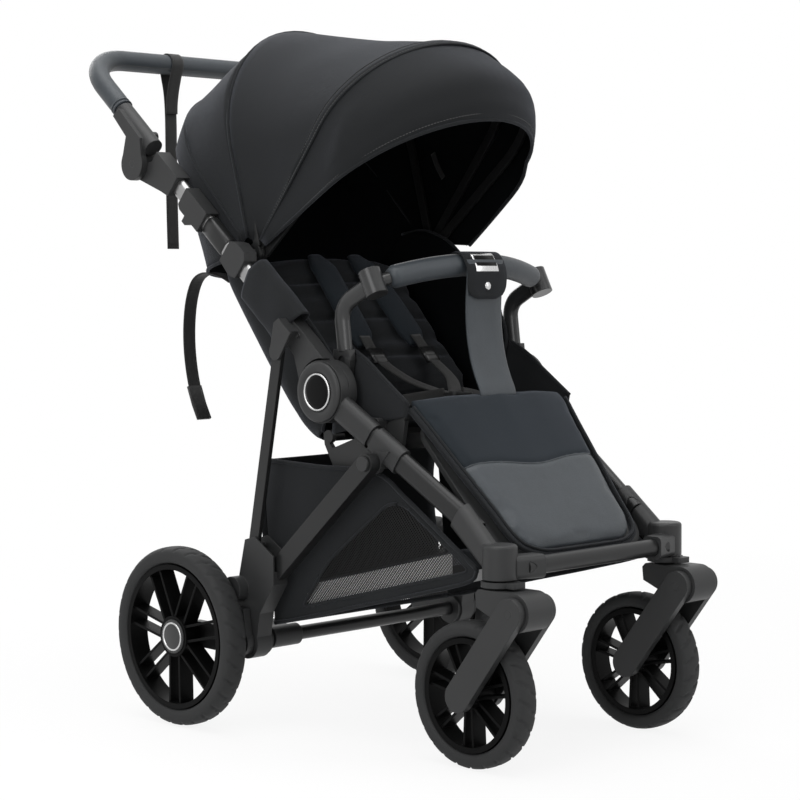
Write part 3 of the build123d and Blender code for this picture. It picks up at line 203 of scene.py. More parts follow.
# %% Tubes, straps, turned pieces and stitches
def tube(name, path, radius, finish, sides=12):
    """A round tube along a path. The radius is one number, or one for each point."""
    radii = radius if hasattr(radius, "__len__") else [radius] * len(path)
    aside = tangents(path)[0].orthogonal().normalized()
    rows = []
    for point, way, r in zip(path, tangents(path), radii):
        aside = (aside - way * aside.dot(way)).normalized()
        up = way.cross(aside)
        rows.append([point + r * (math.cos(a) * aside + math.sin(a) * up) for a in around(sides)])
    return skin(name, rows, finish, ring=True, capped=True)


def strap(name, path, across, width, thick, finish):
    """A flat strap with softly rounded edges along a path; across is its width's direction."""
    rim = [(-1, -0.5), (-1, 0.5), (-0.94, 1), (-0.5, 1), (0, 1), (0.5, 1), (0.94, 1),
           (1, 0.5), (1, -0.5), (0.94, -1), (0.5, -1), (0, -1), (-0.5, -1), (-0.94, -1)]
    rows = []
    for point, way in zip(path, tangents(path)):
        side = (across - way * across.dot(way)).normalized()
        face = way.cross(side)
        rows.append([point + side * (u * width / 2) + face * (v * thick / 2) for u, v in rim])
    return skin(name, rows, finish, ring=True, capped=True)


def turned(name, centre, axis, profile, finish, sides=48):
    """A piece turned on a lathe: the profile is (radius, along the axis) in millimetres."""
    axis = Vector(axis).normalized()
    u = axis.orthogonal().normalized()
    v = axis.cross(u)
    rows = []
    for radius, along in profile:
        middle = centre + axis * (along / 1000)
        rows.append([middle + (radius / 1000) * (math.cos(a) * u + math.sin(a) * v) for a in around(sides)])
    return skin(name, rows, finish, ring=True, capped=True)


def spaced(path, pitch):
    """Points and directions every pitch along a path."""
    found, carry = [], pitch / 2
    for a, b in zip(path, path[1:]):
        run = (b - a).length
        while carry < run:
            found.append((a + (b - a) * (carry / run), (b - a) / run))
            carry += pitch
        carry -= run
    return found


def stitches(name, paths, finish, pitch=0.0042, length=0.0029, radius=0.00055):
    """Rows of short threads lying along the paths, as one piece."""
    threads = []
    shape = [(-0.5, 0.35), (-0.36, 1), (0.36, 1), (0.5, 0.35)]
    for path in paths:
        for point, way in spaced(path, pitch):
            line = [point + way * (length * s) for s, _ in shape]
            threads.append(tube("thread", line, [radius * r for _, r in shape], finish, sides=5))
    return joined(name, threads)


def wrinkled(piece, size, depth, seed=0.0):
    """Pushes a cloth in and out along its normals by a soft noise of that size and depth."""
    mesh = piece.data
    normals = [v.normal.copy() for v in mesh.vertices]
    for vertex, normal in zip(mesh.vertices, normals):
        place = vertex.co / size + Vector((seed, 2 * seed, 3 * seed))
        vertex.co += normal * (depth * noise.noise(place))
    mesh.update()
    return piece


def kept(piece, name, finish, test):
    """A copy of a piece with only the faces whose middles pass the test."""
    mesh = piece.data
    faces = [list(f.vertices) for f in mesh.polygons if test(f.center)]
    used = sorted({k for face in faces for k in face})
    place = {k: i for i, k in enumerate(used)}
    return new_piece(name, [mesh.vertices[k].co.copy() for k in used],
                     [[place[k] for k in face] for face in faces], finish)


print("helpers ready")

# %% [markdown]
# ## Writing shaders as sums
# A finish is a sum of patterns: grain, weave, wear. Wrapped sockets let those sums read like
# arithmetic, and each operator adds the Math node that does it. Everything else comes from one
# method that makes any node from its type, its settings and its sockets.


# %% Wires and the finish bench
class Wire:
    """One output socket. Arithmetic on it adds Math nodes to its finish."""

    def __init__(self, bench, socket):
        self.bench, self.socket = bench, socket

    def maths(self, operation, first, second=None):
        sockets = {0: first} if second is None else {0: first, 1: second}
        return self.bench.node("ShaderNodeMath", {"operation": operation}, sockets)

    def __add__(self, other): return self.maths("ADD", self, other)
    def __radd__(self, other): return self.maths("ADD", other, self)
    def __sub__(self, other): return self.maths("SUBTRACT", self, other)
    def __rsub__(self, other): return self.maths("SUBTRACT", other, self)
    def __mul__(self, other): return self.maths("MULTIPLY", self, other)
    def __truediv__(self, other): return self.maths("DIVIDE", self, other)
    def __pow__(self, other): return self.maths("POWER", self, other)
    def __gt__(self, other): return self.maths("GREATER_THAN", self, other)
    def sine(self): return self.maths("SINE", self)
    def size(self): return self.maths("ABSOLUTE", self)
    def most(self, other): return self.maths("MAXIMUM", self, other)
    def least(self, other): return self.maths("MINIMUM", self, other)


class Bench:
    """One finish being mixed: the node tree of a new material, or of another owner such as the world."""

    def __init__(self, owner):
        self.owner = bpy.data.materials.new(owner) if isinstance(owner, str) else owner
        self.owner.use_nodes = True
        self.tree = self.owner.node_tree

    def plug(self, socket, value):
        if isinstance(value, Wire):
            self.tree.links.new(value.socket, socket)
        else:
            socket.default_value = value

    def node(self, kind, settings=None, sockets=None, out=0):
        """Any node: its settings first, then its sockets, and the output that is wanted."""
        made = self.tree.nodes.new(kind)
        for key, value in (settings or {}).items():
            setattr(made, key, value)
        for key, value in (sockets or {}).items():
            self.plug(made.inputs[key], value)
        return Wire(self, made.outputs[out])

    def place(self):
        return self.node("ShaderNodeTexCoord", out="Object")

    def xyz(self):
        place = self.place()
        return [self.node("ShaderNodeSeparateXYZ", sockets={0: place}, out=k) for k in range(3)]

    def clouds(self, scale, detail=3.0, rough=0.5):
        return self.node("ShaderNodeTexNoise", sockets={"Vector": self.place(), "Scale": scale,
                                                        "Detail": detail, "Roughness": rough})

    def cells(self, scale):
        return self.node("ShaderNodeTexVoronoi", sockets={"Vector": self.place(), "Scale": scale})

    def waves(self, run, pitch):
        """A sine wave from 0 to 1 with that pitch along a run."""
        return (run * (2 * math.pi / pitch)).sine() * 0.5 + 0.5

    def tint(self, amount, dark, light):
        """A colour between two, by an amount from 0 to 1."""
        return self.node("ShaderNodeMix", {"data_type": "RGBA"},
                         {0: amount, 6: (*dark, 1), 7: (*light, 1)}, out=2)

    def rounded(self, radius):
        return self.node("ShaderNodeBevel", {"samples": 4}, {"Radius": radius})

    def bump(self, height, distance, strength=1.0, normal=None):
        sockets = {"Height": height, "Distance": distance, "Strength": strength}
        if normal is not None:
            sockets["Normal"] = normal
        return self.node("ShaderNodeBump", sockets=sockets)

    def surface(self, **sockets):
        """Sets the Principled shader's sockets and gives the finished material."""
        shader = self.tree.nodes["Principled BSDF"]
        for key, value in sockets.items():
            self.plug(shader.inputs[key.replace("_", " ")], value)
        return self.owner


print("shader bench ready")

# %% [markdown]
# ## Cloth, webbing and net
# The hood, seat and basket are a fine black polyester weave, the straps a ribbed webbing, and the
# basket's sides an open net. A weave made of two crossed sine waves in object space needs no UVs, so
# it survives remeshing. The net is the same waves cut into holes through Alpha.


# %% Cloth finishes
RIB_PITCH, CORD_PITCH, TWIST_PITCH, NET_THREAD = 0.0018, 0.0024, 0.0007, 0.55


def grey(level, cool=0.0):
    """A grey of that level, with its red taken down and its blue taken up by the share cool."""
    return (level * (1 - cool), level, level * (1 + cool))


def cloth_finish(name, level, pitch, sheen, cool=0.07, shine=0.2, rough=0.86):
    bench = Bench(name)
    x, y, z = bench.xyz()
    turns = 2 * math.pi / pitch
    warp = ((x + y * 0.62) * turns).sine()
    weft = ((z + y * 0.78 - x * 0.3) * turns).sine()
    weave = warp * weft * 0.5 + 0.5
    wear = bench.clouds(7.0, 4.0)
    fibre = bench.clouds(900.0, 2.0)
    shade = weave * 0.35 + wear * 0.5 + fibre * 0.3 - 0.1
    return bench.surface(
        Base_Color=bench.tint(shade, grey(level * 0.6, cool), grey(level * 1.5, cool)),
        Roughness=rough + wear * 0.1, Sheen_Weight=sheen, Sheen_Roughness=0.4,
        Sheen_Tint=(0.8, 0.85, 1, 1), Specular_IOR_Level=shine,
        Normal=bench.bump(weave + fibre * 0.6, 0.00025, 0.6,
                          bench.bump(bench.clouds(38.0, 3.0), 0.0012, 0.35)))


def webbing_finish(name, level):
    bench = Bench(name)
    x, y, z = bench.xyz()
    weave = bench.waves(z + y * 0.6, RIB_PITCH) * bench.waves(x, CORD_PITCH)
    shade = weave * 0.6 + bench.clouds(60.0) * 0.5
    return bench.surface(
        Base_Color=bench.tint(shade, grey(level * 0.6), grey(level * 1.6)), Roughness=0.7 + weave * 0.15,
        Sheen_Weight=0.15, Specular_IOR_Level=0.35, Normal=bench.bump(weave, 0.0004, 0.7))


def net_finish(name, level, pitch):
    bench = Bench(name)
    x, y, z = bench.xyz()
    turns = math.pi / pitch
    rising, falling = (((y + x + z) * turns).sine().size(), ((y + x - z) * turns).sine().size())
    threads = 1 - (rising > NET_THREAD) * (falling > NET_THREAD)
    shade = bench.clouds(40.0)
    return bench.surface(Base_Color=bench.tint(shade, grey(level * 0.7), grey(level * 1.4)),
                         Roughness=0.75 + shade * 0.1, Specular_IOR_Level=0.2, Alpha=threads)


black_cloth = cloth_finish("black_cloth", 0.013, 0.0011, 0.11)
leg_cloth = cloth_finish("leg_rest_cloth", 0.019, 0.0013, 0.14, 0.22)
# Much darker than the outer cloth and without sheen: painted shade for the hollow insides of the hood and the
# seat shell.
painted_shade_lining = cloth_finish("painted_shade_lining", 0.0035, 0.0016, 0.0, 0.15, 0.06)
# A pale cloth that is painted light: it stands in for the brightness seen through the basket's net.
painted_light_band = cloth_finish("painted_light_band", 0.65, 0.0016, 0.0, 0.0)
webbing = webbing_finish("webbing", 0.013)
net = net_finish("basket_net", 0.010, 0.0050)
print("cloth:", black_cloth.name, leg_cloth.name, painted_shade_lining.name, painted_light_band.name, webbing.name, net.name)

# %% [markdown]
# ## Leatherette and thread
# The bumper, handle, crotch panel and lower leg rest wear a charcoal leatherette: small rounded
# pebbles with finer pores between them, a dull shine on the raised parts. Two sizes of Voronoi cells
# give the pebbles. The thread is paler than the leatherette, as on the real seams.


# %% Leatherette and thread finishes
def leatherette_finish(name, level, rough):
    bench = Bench(name)
    pebbles = bench.cells(620.0)
    pores = bench.cells(1500.0)
    creases = bench.clouds(26.0, 5.0, 0.6)
    grain = pebbles * 0.7 + pores * 0.4
    shade = creases * 0.7 + (1 - pebbles) * 0.3
    return bench.surface(
        Base_Color=bench.tint(shade, grey(level * 0.72, 0.2), grey(level * 1.3, 0.2)),
        Roughness=rough + grain * 0.16 - creases * 0.06, Specular_IOR_Level=0.45, Sheen_Weight=0.06,
        Normal=bench.bump(0 - grain, 0.0004, 0.55, bench.bump(creases, 0.0015, 0.3)))


def thread_finish(name, level):
    bench = Bench(name)
    x, y, z = bench.xyz()
    twist = bench.waves(x + y + z, TWIST_PITCH)
    return bench.surface(Base_Color=bench.tint(twist, grey(level * 0.7), grey(level * 1.2)),
                         Roughness=0.6 + twist * 0.2, Normal=bench.bump(twist, 0.0001, 0.5))


leatherette = leatherette_finish("leatherette", 0.031, 0.42)
pale_thread = thread_finish("pale_thread", 0.3)
dark_thread = thread_finish("dark_thread", 0.07)
print("leatherette:", leatherette.name, pale_thread.name, dark_thread.name)

# %% [markdown]
# ## Paint, plastic, rubber and bright metal
# The solids have sharp edges, and real mouldings never do. A Bevel node rounds the shading of every
# edge by a millimetre or so, which gives plastics and painted tubes the thin bright lines they show
# in studio light. Moulded plastic gets a fine spark-eroded grain, rubber a dusty bloom.


# %% Hard finishes
def moulded_finish(name, level, rough, grain, edge=0.0012, coat=0.0, metal=0.0, shine=0.3):
    bench = Bench(name)
    fine = bench.clouds(1400.0, 2.0)
    broad = bench.clouds(9.0, 4.0)
    shade = fine * 0.35 + broad * 0.65
    return bench.surface(
        Base_Color=bench.tint(shade, grey(level * 0.78, 0.02), grey(level * 1.25, 0.02)),
        Roughness=rough + broad * 0.12 - 0.06, Metallic=metal, Coat_Weight=coat, Coat_Roughness=0.12,
        Specular_IOR_Level=shine, Normal=bench.bump(fine, 0.0002, grain, bench.rounded(edge)))


def bright_finish(name, level, rough):
    bench = Bench(name)
    brushed = bench.clouds(300.0, 3.0)
    return bench.surface(Base_Color=bench.tint(brushed, grey(level * 0.85), grey(level)), Metallic=1.0,
                         Roughness=rough + brushed * 0.1, Normal=bench.rounded(0.0006))


frame_paint = moulded_finish("frame_paint", 0.015, 0.36, 0.06, 0.002, 0.05, 0.2)
charcoal_plastic = moulded_finish("charcoal_plastic", 0.024, 0.46, 0.3, 0.0016)
rim_plastic = moulded_finish("rim_plastic", 0.003, 0.42, 0.15, 0.0012, shine=0.06)
gloss_plastic = moulded_finish("gloss_plastic", 0.022, 0.28, 0.08, 0.0018, 0.2)
tyre_rubber = moulded_finish("tyre_rubber", 0.024, 0.7, 0.5, 0.0008, shine=0.25)
badge_plastic = moulded_finish("badge_plastic", 0.005, 0.3, 0.05, 0.0006, shine=0.06)
bright_metal = bright_finish("bright_metal", 0.62, 0.22)
tube_metal = bright_finish("tube_metal", 0.34, 0.26)
print("hard finishes:", frame_paint.name, charcoal_plastic.name, rim_plastic.name, gloss_plastic.name)

# %% [markdown]
# ## Finishing the solids
# Frame, wheels, brackets and bows keep their CAD shapes, so they only need finishes. The record says which
# material slot each node belongs to, and each slot has one finish here. A new piece stands for the nodes it
# hides, and most ride on a body; no new piece is given a slot.

# %% Finishes on the CAD nodes
slot_finish = {"frame_paint": frame_paint, "charcoal_plastic": charcoal_plastic,
               "rim_plastic": rim_plastic, "gloss_plastic": gloss_plastic, "tyre": tyre_rubber,
               "leatherette": leatherette, "black_cloth": black_cloth, "webbing": webbing}
node_slot = {part["node"]: part["material_slot"] for part in frame["record"]["subparts"]}
for node, solid in frame["nodes"].items():
    solid.data.materials.clear()
    solid.data.materials.append(slot_finish[node_slot[node]])
frame["nodes"]["push_tubes"].data.materials[0] = tube_metal
print("finished solids:", len(node_slot))

# %% Placing pieces on bodies
slot_of = {finish.name: slot for slot, finish in slot_finish.items()}
for finish, slot in ((leg_cloth, "black_cloth"), (painted_light_band, "black_cloth"), (net, "black_cloth"),
                     (bright_metal, "gloss_plastic"), (badge_plastic, "gloss_plastic")):
    slot_of[finish.name] = slot


def stands_for(piece, nodes, slot):
    """Looks up a piece's material slot without keeping it, and hides the CAD nodes it stands for."""
    slot or slot_of[piece.data.materials[0].name]
    if nodes:
        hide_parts(*nodes)


def worn_by(piece, body, *nodes, slot=None, fill=None):
    """Puts a piece on its body. The fill argument, for how tightly a pad is filled, is not used."""
    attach(piece, body)
    stands_for(piece, nodes, slot)
    print(piece.name, "on", body, len(piece.data.vertices), "points")
    return piece


def stretched(piece, first, second, start, end, *nodes):
    """Fixes a cloth where it is drawn, between two bodies but on neither, and hides the nodes it stands for.
    """
    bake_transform(piece)
    stands_for(piece, nodes, None)
    print(piece.name, "between", first, "and", second, len(piece.data.vertices), "points")
    return piece


print("slots:", slot_of)

# %% [markdown]
# ## Camera, light and floor
# The camera stands where the photograph was taken: to the right of the front, a little above the seat,
# with a long lens. Its axes were found from the wheels and the frame. The light is a plain studio: a
# wide soft box above, a weaker one beside the camera and one behind that draws the edges.
# The floor is pale and reads white to the camera, and still keeps the shadow under the wheels.

# %% Camera at the photograph's place
camera = bpy.data.objects.new("camera", bpy.data.cameras.new("camera"))
bpy.context.collection.objects.link(camera)
look_right = Vector((0.707289, -0.706903, -0.005558))
look_up = Vector((0.043506, 0.035679, 0.998416))
look_back = Vector((-0.705585, -0.70641, 0.05599))
turn = Matrix((look_right, look_up, look_back)).transposed().to_4x4()
camera.matrix_world = Matrix.Translation(at(-2349.41, -2555.73, 690.47)) @ turn
camera.data.sensor_width, camera.data.lens = 36, 94.576
bpy.context.scene.camera = camera
bpy.context.scene.view_settings.view_transform = "Standard"
print("camera at", tuple(round(v, 3) for v in camera.location))


# %% Soft boxes
def soft_box(name, place, aim, wide, high, watts):
    lamp = bpy.data.lights.new(name, "AREA")
    lamp.shape, lamp.size, lamp.size_y, lamp.energy = "RECTANGLE", wide, high, watts
    box = bpy.data.objects.new(name, lamp)
    bpy.context.collection.objects.link(box)
    box.location = place
    box.rotation_euler = (Vector(aim) - Vector(place)).to_track_quat("-Z", "Y").to_euler()
    return box


soft_box("top_box", (-0.3, -0.2, 3.0), (0, 0, 0.4), 2.6, 2.6, 62)
soft_box("front_box", (-3.0, -0.9, 1.7), (0, 0, 0.5), 1.6, 2.2, 34)
soft_box("side_box", (0.9, -3.0, 1.9), (0, 0, 0.5), 1.4, 2.2, 20)
soft_box("back_box", (0.6, 2.8, 2.2), (0, 0, 0.7), 2.2, 1.6, 34)
print("lit by four soft boxes")


# %% White surroundings and floor
def seen(bench):
    """1 for rays that the camera sees, straight, mirrored or through glass, and 0 for light."""
    rays = [bench.node("ShaderNodeLightPath", out=name)
            for name in ("Is Camera Ray", "Is Glossy Ray", "Is Transmission Ray")]
    return rays[0].most(rays[1]).most(rays[2])


LIGHT_LEVEL = 0.42
world = bpy.data.worlds.new("surroundings")
bpy.context.scene.world = world
sky = Bench(world)
level = sky.node("ShaderNodeMix", sockets={0: seen(sky), 2: LIGHT_LEVEL, 3: 1.0})
sky.plug(sky.tree.nodes["Background"].inputs["Strength"], level)
sky.plug(sky.tree.nodes["Background"].inputs["Color"], (1, 1, 1, 1))

floor_bench = Bench("studio_floor")
x, y, z = floor_bench.xyz()
FADE_FROM, FADE_OVER, NEAR_WHITE = 0.7, 1.6, 0.88
away = (((x * x + y * y) ** 0.5 - FADE_FROM) / FADE_OVER).most(0.0).least(1.0)
shown = seen(floor_bench) * (NEAR_WHITE + away * (1 - NEAR_WHITE))
matte = floor_bench.node("ShaderNodeBsdfDiffuse", sockets={"Color": (0.86, 0.86, 0.86, 1)})
white = floor_bench.node("ShaderNodeEmission", sockets={"Color": (1, 1, 1, 1), "Strength": 1.0})
mixed = floor_bench.node("ShaderNodeMixShader", sockets={0: shown, 1: matte, 2: white})
floor_bench.plug(floor_bench.tree.nodes["Material Output"].inputs["Surface"], mixed)
FLOOR_HALF, FLOOR_LEVEL = 30, -0.0005
floor_corners = [(FLOOR_HALF * u, FLOOR_HALF * v, FLOOR_LEVEL)
                 for u, v in ((-1, -1), (1, -1), (1, 1), (-1, 1))]
studio_floor = new_piece("studio_floor", floor_corners, [(0, 1, 2, 3)], floor_bench.owner)
print("floor at", FLOOR_LEVEL, "m, seen as white from", FADE_FROM + FADE_OVER, "m outwards")

# %% [markdown]
# ## The hood
# The hood is one cloth over three bows that fan out from a hinge on each push tube. It could be draped by
# simulation, but its cloth is cut to shape and tight, so the seams are drawn as arches and the cloth is
# skinned between them. It is cut at the rear bow and at the ridge: the back rides on its bow, and the middle
# and the nose stay where they are drawn, on no body.


# %% Arches over the bows
HOOD_HINGE, HOOD_FOOT = (-80.8, 738.2), 24.0


def bend(half, top, foot, rise, run=None):
    """An arch as (across, height): straight legs, elliptic corners and, if they leave one, a level top."""
    run = run or half
    rise = min(rise, 0.8 * (top - foot))
    legs = [(-half, foot + (top - rise - foot) * k / 8) for k in range(8)]
    for k in range(17):
        a = math.pi / 2 * k / 16
        legs.append((-half + run * (1 - math.cos(a)), top - rise * (1 - math.sin(a))))
    if run < half:
        legs += [((half - run) * (k / 4 - 1), top) for k in range(1, 5)]
    return legs + [(-x, h) for x, h in reversed(legs[:-1])]


def on_hood(angle, radius, x):
    """A point of the hood by its angle about the hinge, from the rear, and its radius."""
    a = math.radians(angle)
    return at(x, HOOD_HINGE[0] + radius * math.cos(a), HOOD_HINGE[1] + radius * math.sin(a))


def hood_arch(angle, top, half, rise, lift=0.0):
    """An arch of the hood at an angle, by its top, half its width and how far its corners rise."""
    return [on_hood(angle, h, x) for x, h in bend(half + lift, top + lift, HOOD_FOOT, rise)]


def between(arches, steps):
    """Arches rounded into each other, column by column."""
    columns = [flowing(column, steps) for column in zip(*arches)]
    return [list(row) for row in zip(*columns)]


def creased(piece, paths, depth, width):
    """Presses soft folds into a piece along paths that lie on it."""
    line = np.array([p for path in paths for p in flowing(path, 24)])
    mesh = piece.data
    where = np.array([v.co for v in mesh.vertices])
    normals = np.array([v.normal for v in mesh.vertices])
    gap = np.array([np.sqrt(((line - p) ** 2).sum(axis=1).min()) for p in where])
    sunk = depth * np.exp(-(gap / width) ** 2)
    mesh.vertices.foreach_set("co", (where - normals * sunk[:, None]).ravel())
    mesh.update()
    return piece


def shade_lined(piece, thick):
    """Gives a cloth its thickness and, on its hollow side, a much darker lining: painted shade for the inside
    of the hood and the seat shell.
    """
    mesh = piece.data
    middle = sum((v.co for v in mesh.vertices), Vector()) / len(mesh.vertices)
    if sum(f.area * f.normal.dot(f.center - middle) for f in mesh.polygons) < 0:
        mesh.flip_normals()
    mesh.materials.append(painted_shade_lining)
    return shaped(piece, "SOLIDIFY", thickness=thick, offset=0, material_offset=1)


def sheet_of(rows):
    """Prints the size a cloth was cut to, measured along its rows and columns."""
    def run(path):
        return sum((b - a).length for a, b in zip(path, path[1:]))
    wide = max(run(row) for row in rows)
    long = max(run(column) for column in zip(*rows))
    area = sum((c - a).cross(d - b).length / 2 for r, s in zip(rows, rows[1:])
               for a, b, c, d in zip(r, r[1:], s[1:], s))
    print("  cut", round(wide, 3), "x", round(long, 3), "m, area", round(area, 4))


REAR_BOW, RIDGE_BOW, FRONT_BOW = 75.0, 128.0, 140.0
WAIST, REAR = (46, 377, 201, 200), (REAR_BOW, 374, 203, 206)
RIDGE_TOP, RIDGE_HALF, RIDGE_RISE = 402, 194, 163
hem_arch = hood_arch(-10, 230, 194, 180)
flap_arch = hood_arch(36, 366, 200, 196)
waist_arch = hood_arch(*WAIST)
rear_arch = hood_arch(*REAR)
ridge_arch = hood_arch(RIDGE_BOW, RIDGE_TOP, RIDGE_HALF, RIDGE_RISE)
front_arch = hood_arch(FRONT_BOW, 418, 193, 178)
peak_arch = hood_arch(146, 407, 192, 192)
brim_arch = hood_arch(149.8, 388, 191, 205)


SLACK_REACH, SLACK_MOST = 248, 0.075


def slack(arch, share):
    """The far side of an arch, hanging forward below its corner as the visor's loose side does."""
    for p in arch:
        low = 1 - ((p - on_hood(0, 0, p.x * 1000)).length * 1000 - HOOD_FOOT) / SLACK_REACH
        if p.x > 0.1 and low > 0:
            p.y -= SLACK_MOST * share * low ** 0.8
    return arch


slack(peak_arch, 0.6)
slack(brim_arch, 1.0)
print("arches of", len(rear_arch), "points")

# %% Hood cloth
flap_rows = between([hem_arch, flap_arch], 12)
back_rows = flap_rows[:-1] + between([flap_arch, waist_arch], 4)[:-1] + between([waist_arch, rear_arch], 10)
hood_back = wrinkled(skin("hood_back", back_rows, black_cloth), 0.11, 0.006, 1.0)
worn_by(shade_lined(hood_back, 0.002), "canopy_rear", "canopy_back")

taut_rows = []
for k in range(21):
    share = k / 20
    sag = 4 * share * (1 - share)
    row = []
    for a, b in zip(rear_arch, ridge_arch):
        p = a.lerp(b, share)
        row.append(p + Vector((-p.x * 0.02 * sag, 0, -0.005 * sag)))
    taut_rows.append(row)
hood_middle = wrinkled(skin("hood_middle", taut_rows, black_cloth), 0.13, 0.005, 2.0)
stretched(shade_lined(hood_middle, 0.002), "canopy_rear", "canopy_ridge", on_hood(REAR_BOW, 385, 0),
          on_hood(RIDGE_BOW, 385, 0), "canopy_rear_panel")

nose_rows = between([ridge_arch, front_arch, peak_arch, brim_arch], 8)
hood_nose = wrinkled(skin("hood_nose", nose_rows, black_cloth), 0.10, 0.003, 3.0)
folds = [[on_hood(a, r, side * 192) for a, r in ((135, 300), (139, 262), (143, 232))] for side in (-1, 1)]
creased(hood_nose, folds, 0.004, 0.012)
stretched(shade_lined(hood_nose, 0.002), "canopy_ridge", "canopy_front", on_hood(RIDGE_BOW, 400, 0),
          on_hood(FRONT_BOW, 400, 0), "canopy_front_panel", "canopy_visor")

# %% Hood seams
rear_piping = worn_by(tube("rear_piping", hood_arch(*REAR, 1.0), 0.0026, black_cloth, 8), "canopy_rear")
waist_piping = worn_by(tube("waist_piping", hood_arch(*WAIST, 0.4), 0.0022, black_cloth, 8), "canopy_rear")


def ridge_line(turn, lift):
    """An arch beside the ridge, on the cloth that slopes away from it."""
    top = RIDGE_TOP + turn * (1.2 if turn > 0 else 4.1)
    return hood_arch(RIDGE_BOW + turn, top, RIDGE_HALF, RIDGE_RISE, lift)


ridge_rows = [ridge_line(turn, lift)
              for turn, lift in ((-1.5, 0.2), (-1.3, 2.0), (0, 2.6), (1.1, 2.2), (1.3, 0.2))]
ridge_band = worn_by(skin("ridge_band", ridge_rows, black_cloth, thick=0.0012), "canopy_ridge")
ridge_cords = worn_by(joined("ridge_cords", [tube("cord", ridge_line(turn, 2.0), 0.0017, black_cloth, 6)
                                             for turn in (-1.5, 1.3)]), "canopy_ridge")
seam_lines = [ridge_line(turn, 2.9) for turn in (-1.0, 0.8)]
worn_by(stitches("ridge_seam", seam_lines, dark_thread, 0.005, 0.0034), "canopy_ridge", slot="black_cloth")
brim_hem = worn_by(tube("brim_hem", brim_arch, 0.0030, black_cloth, 8), "canopy_front")
hem_line = [p + (p - on_hood(150, 0, p.x)) * 0.006 for p in nose_rows[-3]]
worn_by(stitches("brim_seam", [hem_line], dark_thread, 0.005, 0.0034), "canopy_front", slot="black_cloth")
back_hem = worn_by(tube("back_hem", hem_arch, 0.003, black_cloth, 8), "canopy_rear")
tie_path = flowing([on_hood(93, 168, 195), on_hood(98, 147, 194), on_hood(105, 130, 194)], 6)
tie = worn_by(strap("hood_tie", tie_path, Vector((0, 1, 0.4)), 0.010, 0.0012, webbing), "canopy_rear")
sheet_of(back_rows)
sheet_of(taut_rows)
sheet_of(nose_rows)

# %% [markdown]
# ## The seat's cloth bucket
# Behind the padding the seat is a bucket of cloth: a shell that wraps round the backrest and leans with
# it, and two side panels that stay with the seat base. The shell could be cut from flat panels, but on
# the real one it is pulled into a rounded trough, so its sections are the same bent arches as the hood.

# %% Backrest shell and seat sides
SHELL_HALF, SHELL_CORNER = 174.3, 44
shell_stations = [(16, 32, -8, -8), (34, 47, 22, 22), (60, 53, 70, 104), (84, 54, 82, 133),
                  (110, 55, 84, 143), (140, 55, 83, 152), (184, 54, 78, 150), (228, 52, 70, 144),
                  (284, 49, 61, 134), (332, 43, 50, 104), (362, 32, 34, 62)]
shell_arches = []
for up, behind, near, far in shell_stations:
    sides = [bend(SHELL_HALF, behind, -wing, SHELL_CORNER, SHELL_CORNER) for wing in (near, far)]
    middle = len(sides[0]) // 2
    shell_arches.append([on_back(up, -h, x) for x, h in sides[0][:middle] + sides[1][middle:]])
shell_rows = between(shell_arches, 5)
seat_shell = wrinkled(skin("seat_shell", shell_rows, black_cloth), 0.10, 0.004, 4.0)
worn_by(shade_lined(seat_shell, 0.003), "backrest", "backrest_board")
wing_edges = [tube("edge", [row[k] for row in shell_rows], 0.0026, black_cloth, 8) for k in (0, -1)]
shell_binding = worn_by(joined("shell_binding", wing_edges), "backrest")
sheet_of(shell_rows)

side_low = [(-240, 462), (-290, 472), (-340, 484), (-398, 494)]
side_high = [(-252, 606), (-307, 580), (-352, 548), (-402, 512)]
for name, side in SIDES:
    low = flowing([at(side * 181, y, z) for y, z in side_low], 6)
    high = flowing([at(side * 180, y, z) for y, z in side_high], 6)
    rows = [[a.lerp(b, k / 12) for a, b in zip(low, high)] for k in range(13)]
    panel = worn_by(skin(f"seat_side_{name}", rows, black_cloth, thick=0.0024), "chassis")
    hem = worn_by(tube(f"seat_side_hem_{name}", rows[-1], 0.0026, black_cloth, 8), "chassis")
    sheet_of(rows)

# %% [markdown]
# ## Padding
# The seat, back and leg-rest pads are foam in cloth. Each starts from its own CAD solid, a little
# shrunk, is remeshed evenly and blown up by a short cloth simulation with inside pressure, which pulls
# the sides in between the corners as real stuffing does. Sewn channels are pressed in afterwards,
# because the remesh would smooth them away.


# %% Plumped pads
CLOTH_STEPS = 20


def plump(source, name, finish, shrink, most, pressure=4.0, voxel=0.005):
    """A pad grown from a mesh by a cloth simulation that moves no point further than most."""
    pad = bpy.data.objects.new(name, source.copy())
    bpy.context.collection.objects.link(pad)
    pad.data.materials.clear()
    pad.data.materials.append(finish)
    shaped(pad, "REMESH", mode="VOXEL", voxel_size=voxel)
    rest = np.array([v.co - v.normal * shrink for v in pad.data.vertices])
    pad.data.vertices.foreach_set("co", rest.ravel())
    cloth = pad.modifiers.new("cloth", "CLOTH")
    cloth.settings.use_pressure = True
    cloth.settings.uniform_pressure_force = pressure
    cloth.settings.effector_weights.gravity = 0
    cloth.point_cache.frame_end = CLOTH_STEPS
    for step in range(1, CLOTH_STEPS + 1):
        bpy.context.scene.frame_set(step)
    blown = pad.evaluated_get(bpy.context.evaluated_depsgraph_get()).to_mesh()
    move = np.array([v.co for v in blown.vertices]) - rest
    far = np.linalg.norm(move, axis=1, keepdims=True)
    rest += move * np.minimum(1, most / np.maximum(far, 1e-9))
    pad.modifiers.clear()
    bpy.context.scene.frame_set(1)
    pad.data.vertices.foreach_set("co", rest.ravel())
    print(name, "swelled by up to", round(float(far.max()) * 1000, 1), "mm")
    return shaped(pad, "SUBSURF", levels=1)


def lines_across(place, half, *rows):
    """Paths across a pad, one for each row."""
    return [[place(row, x) for x in (-half, -half / 2, 0, half / 2, half)] for row in rows]


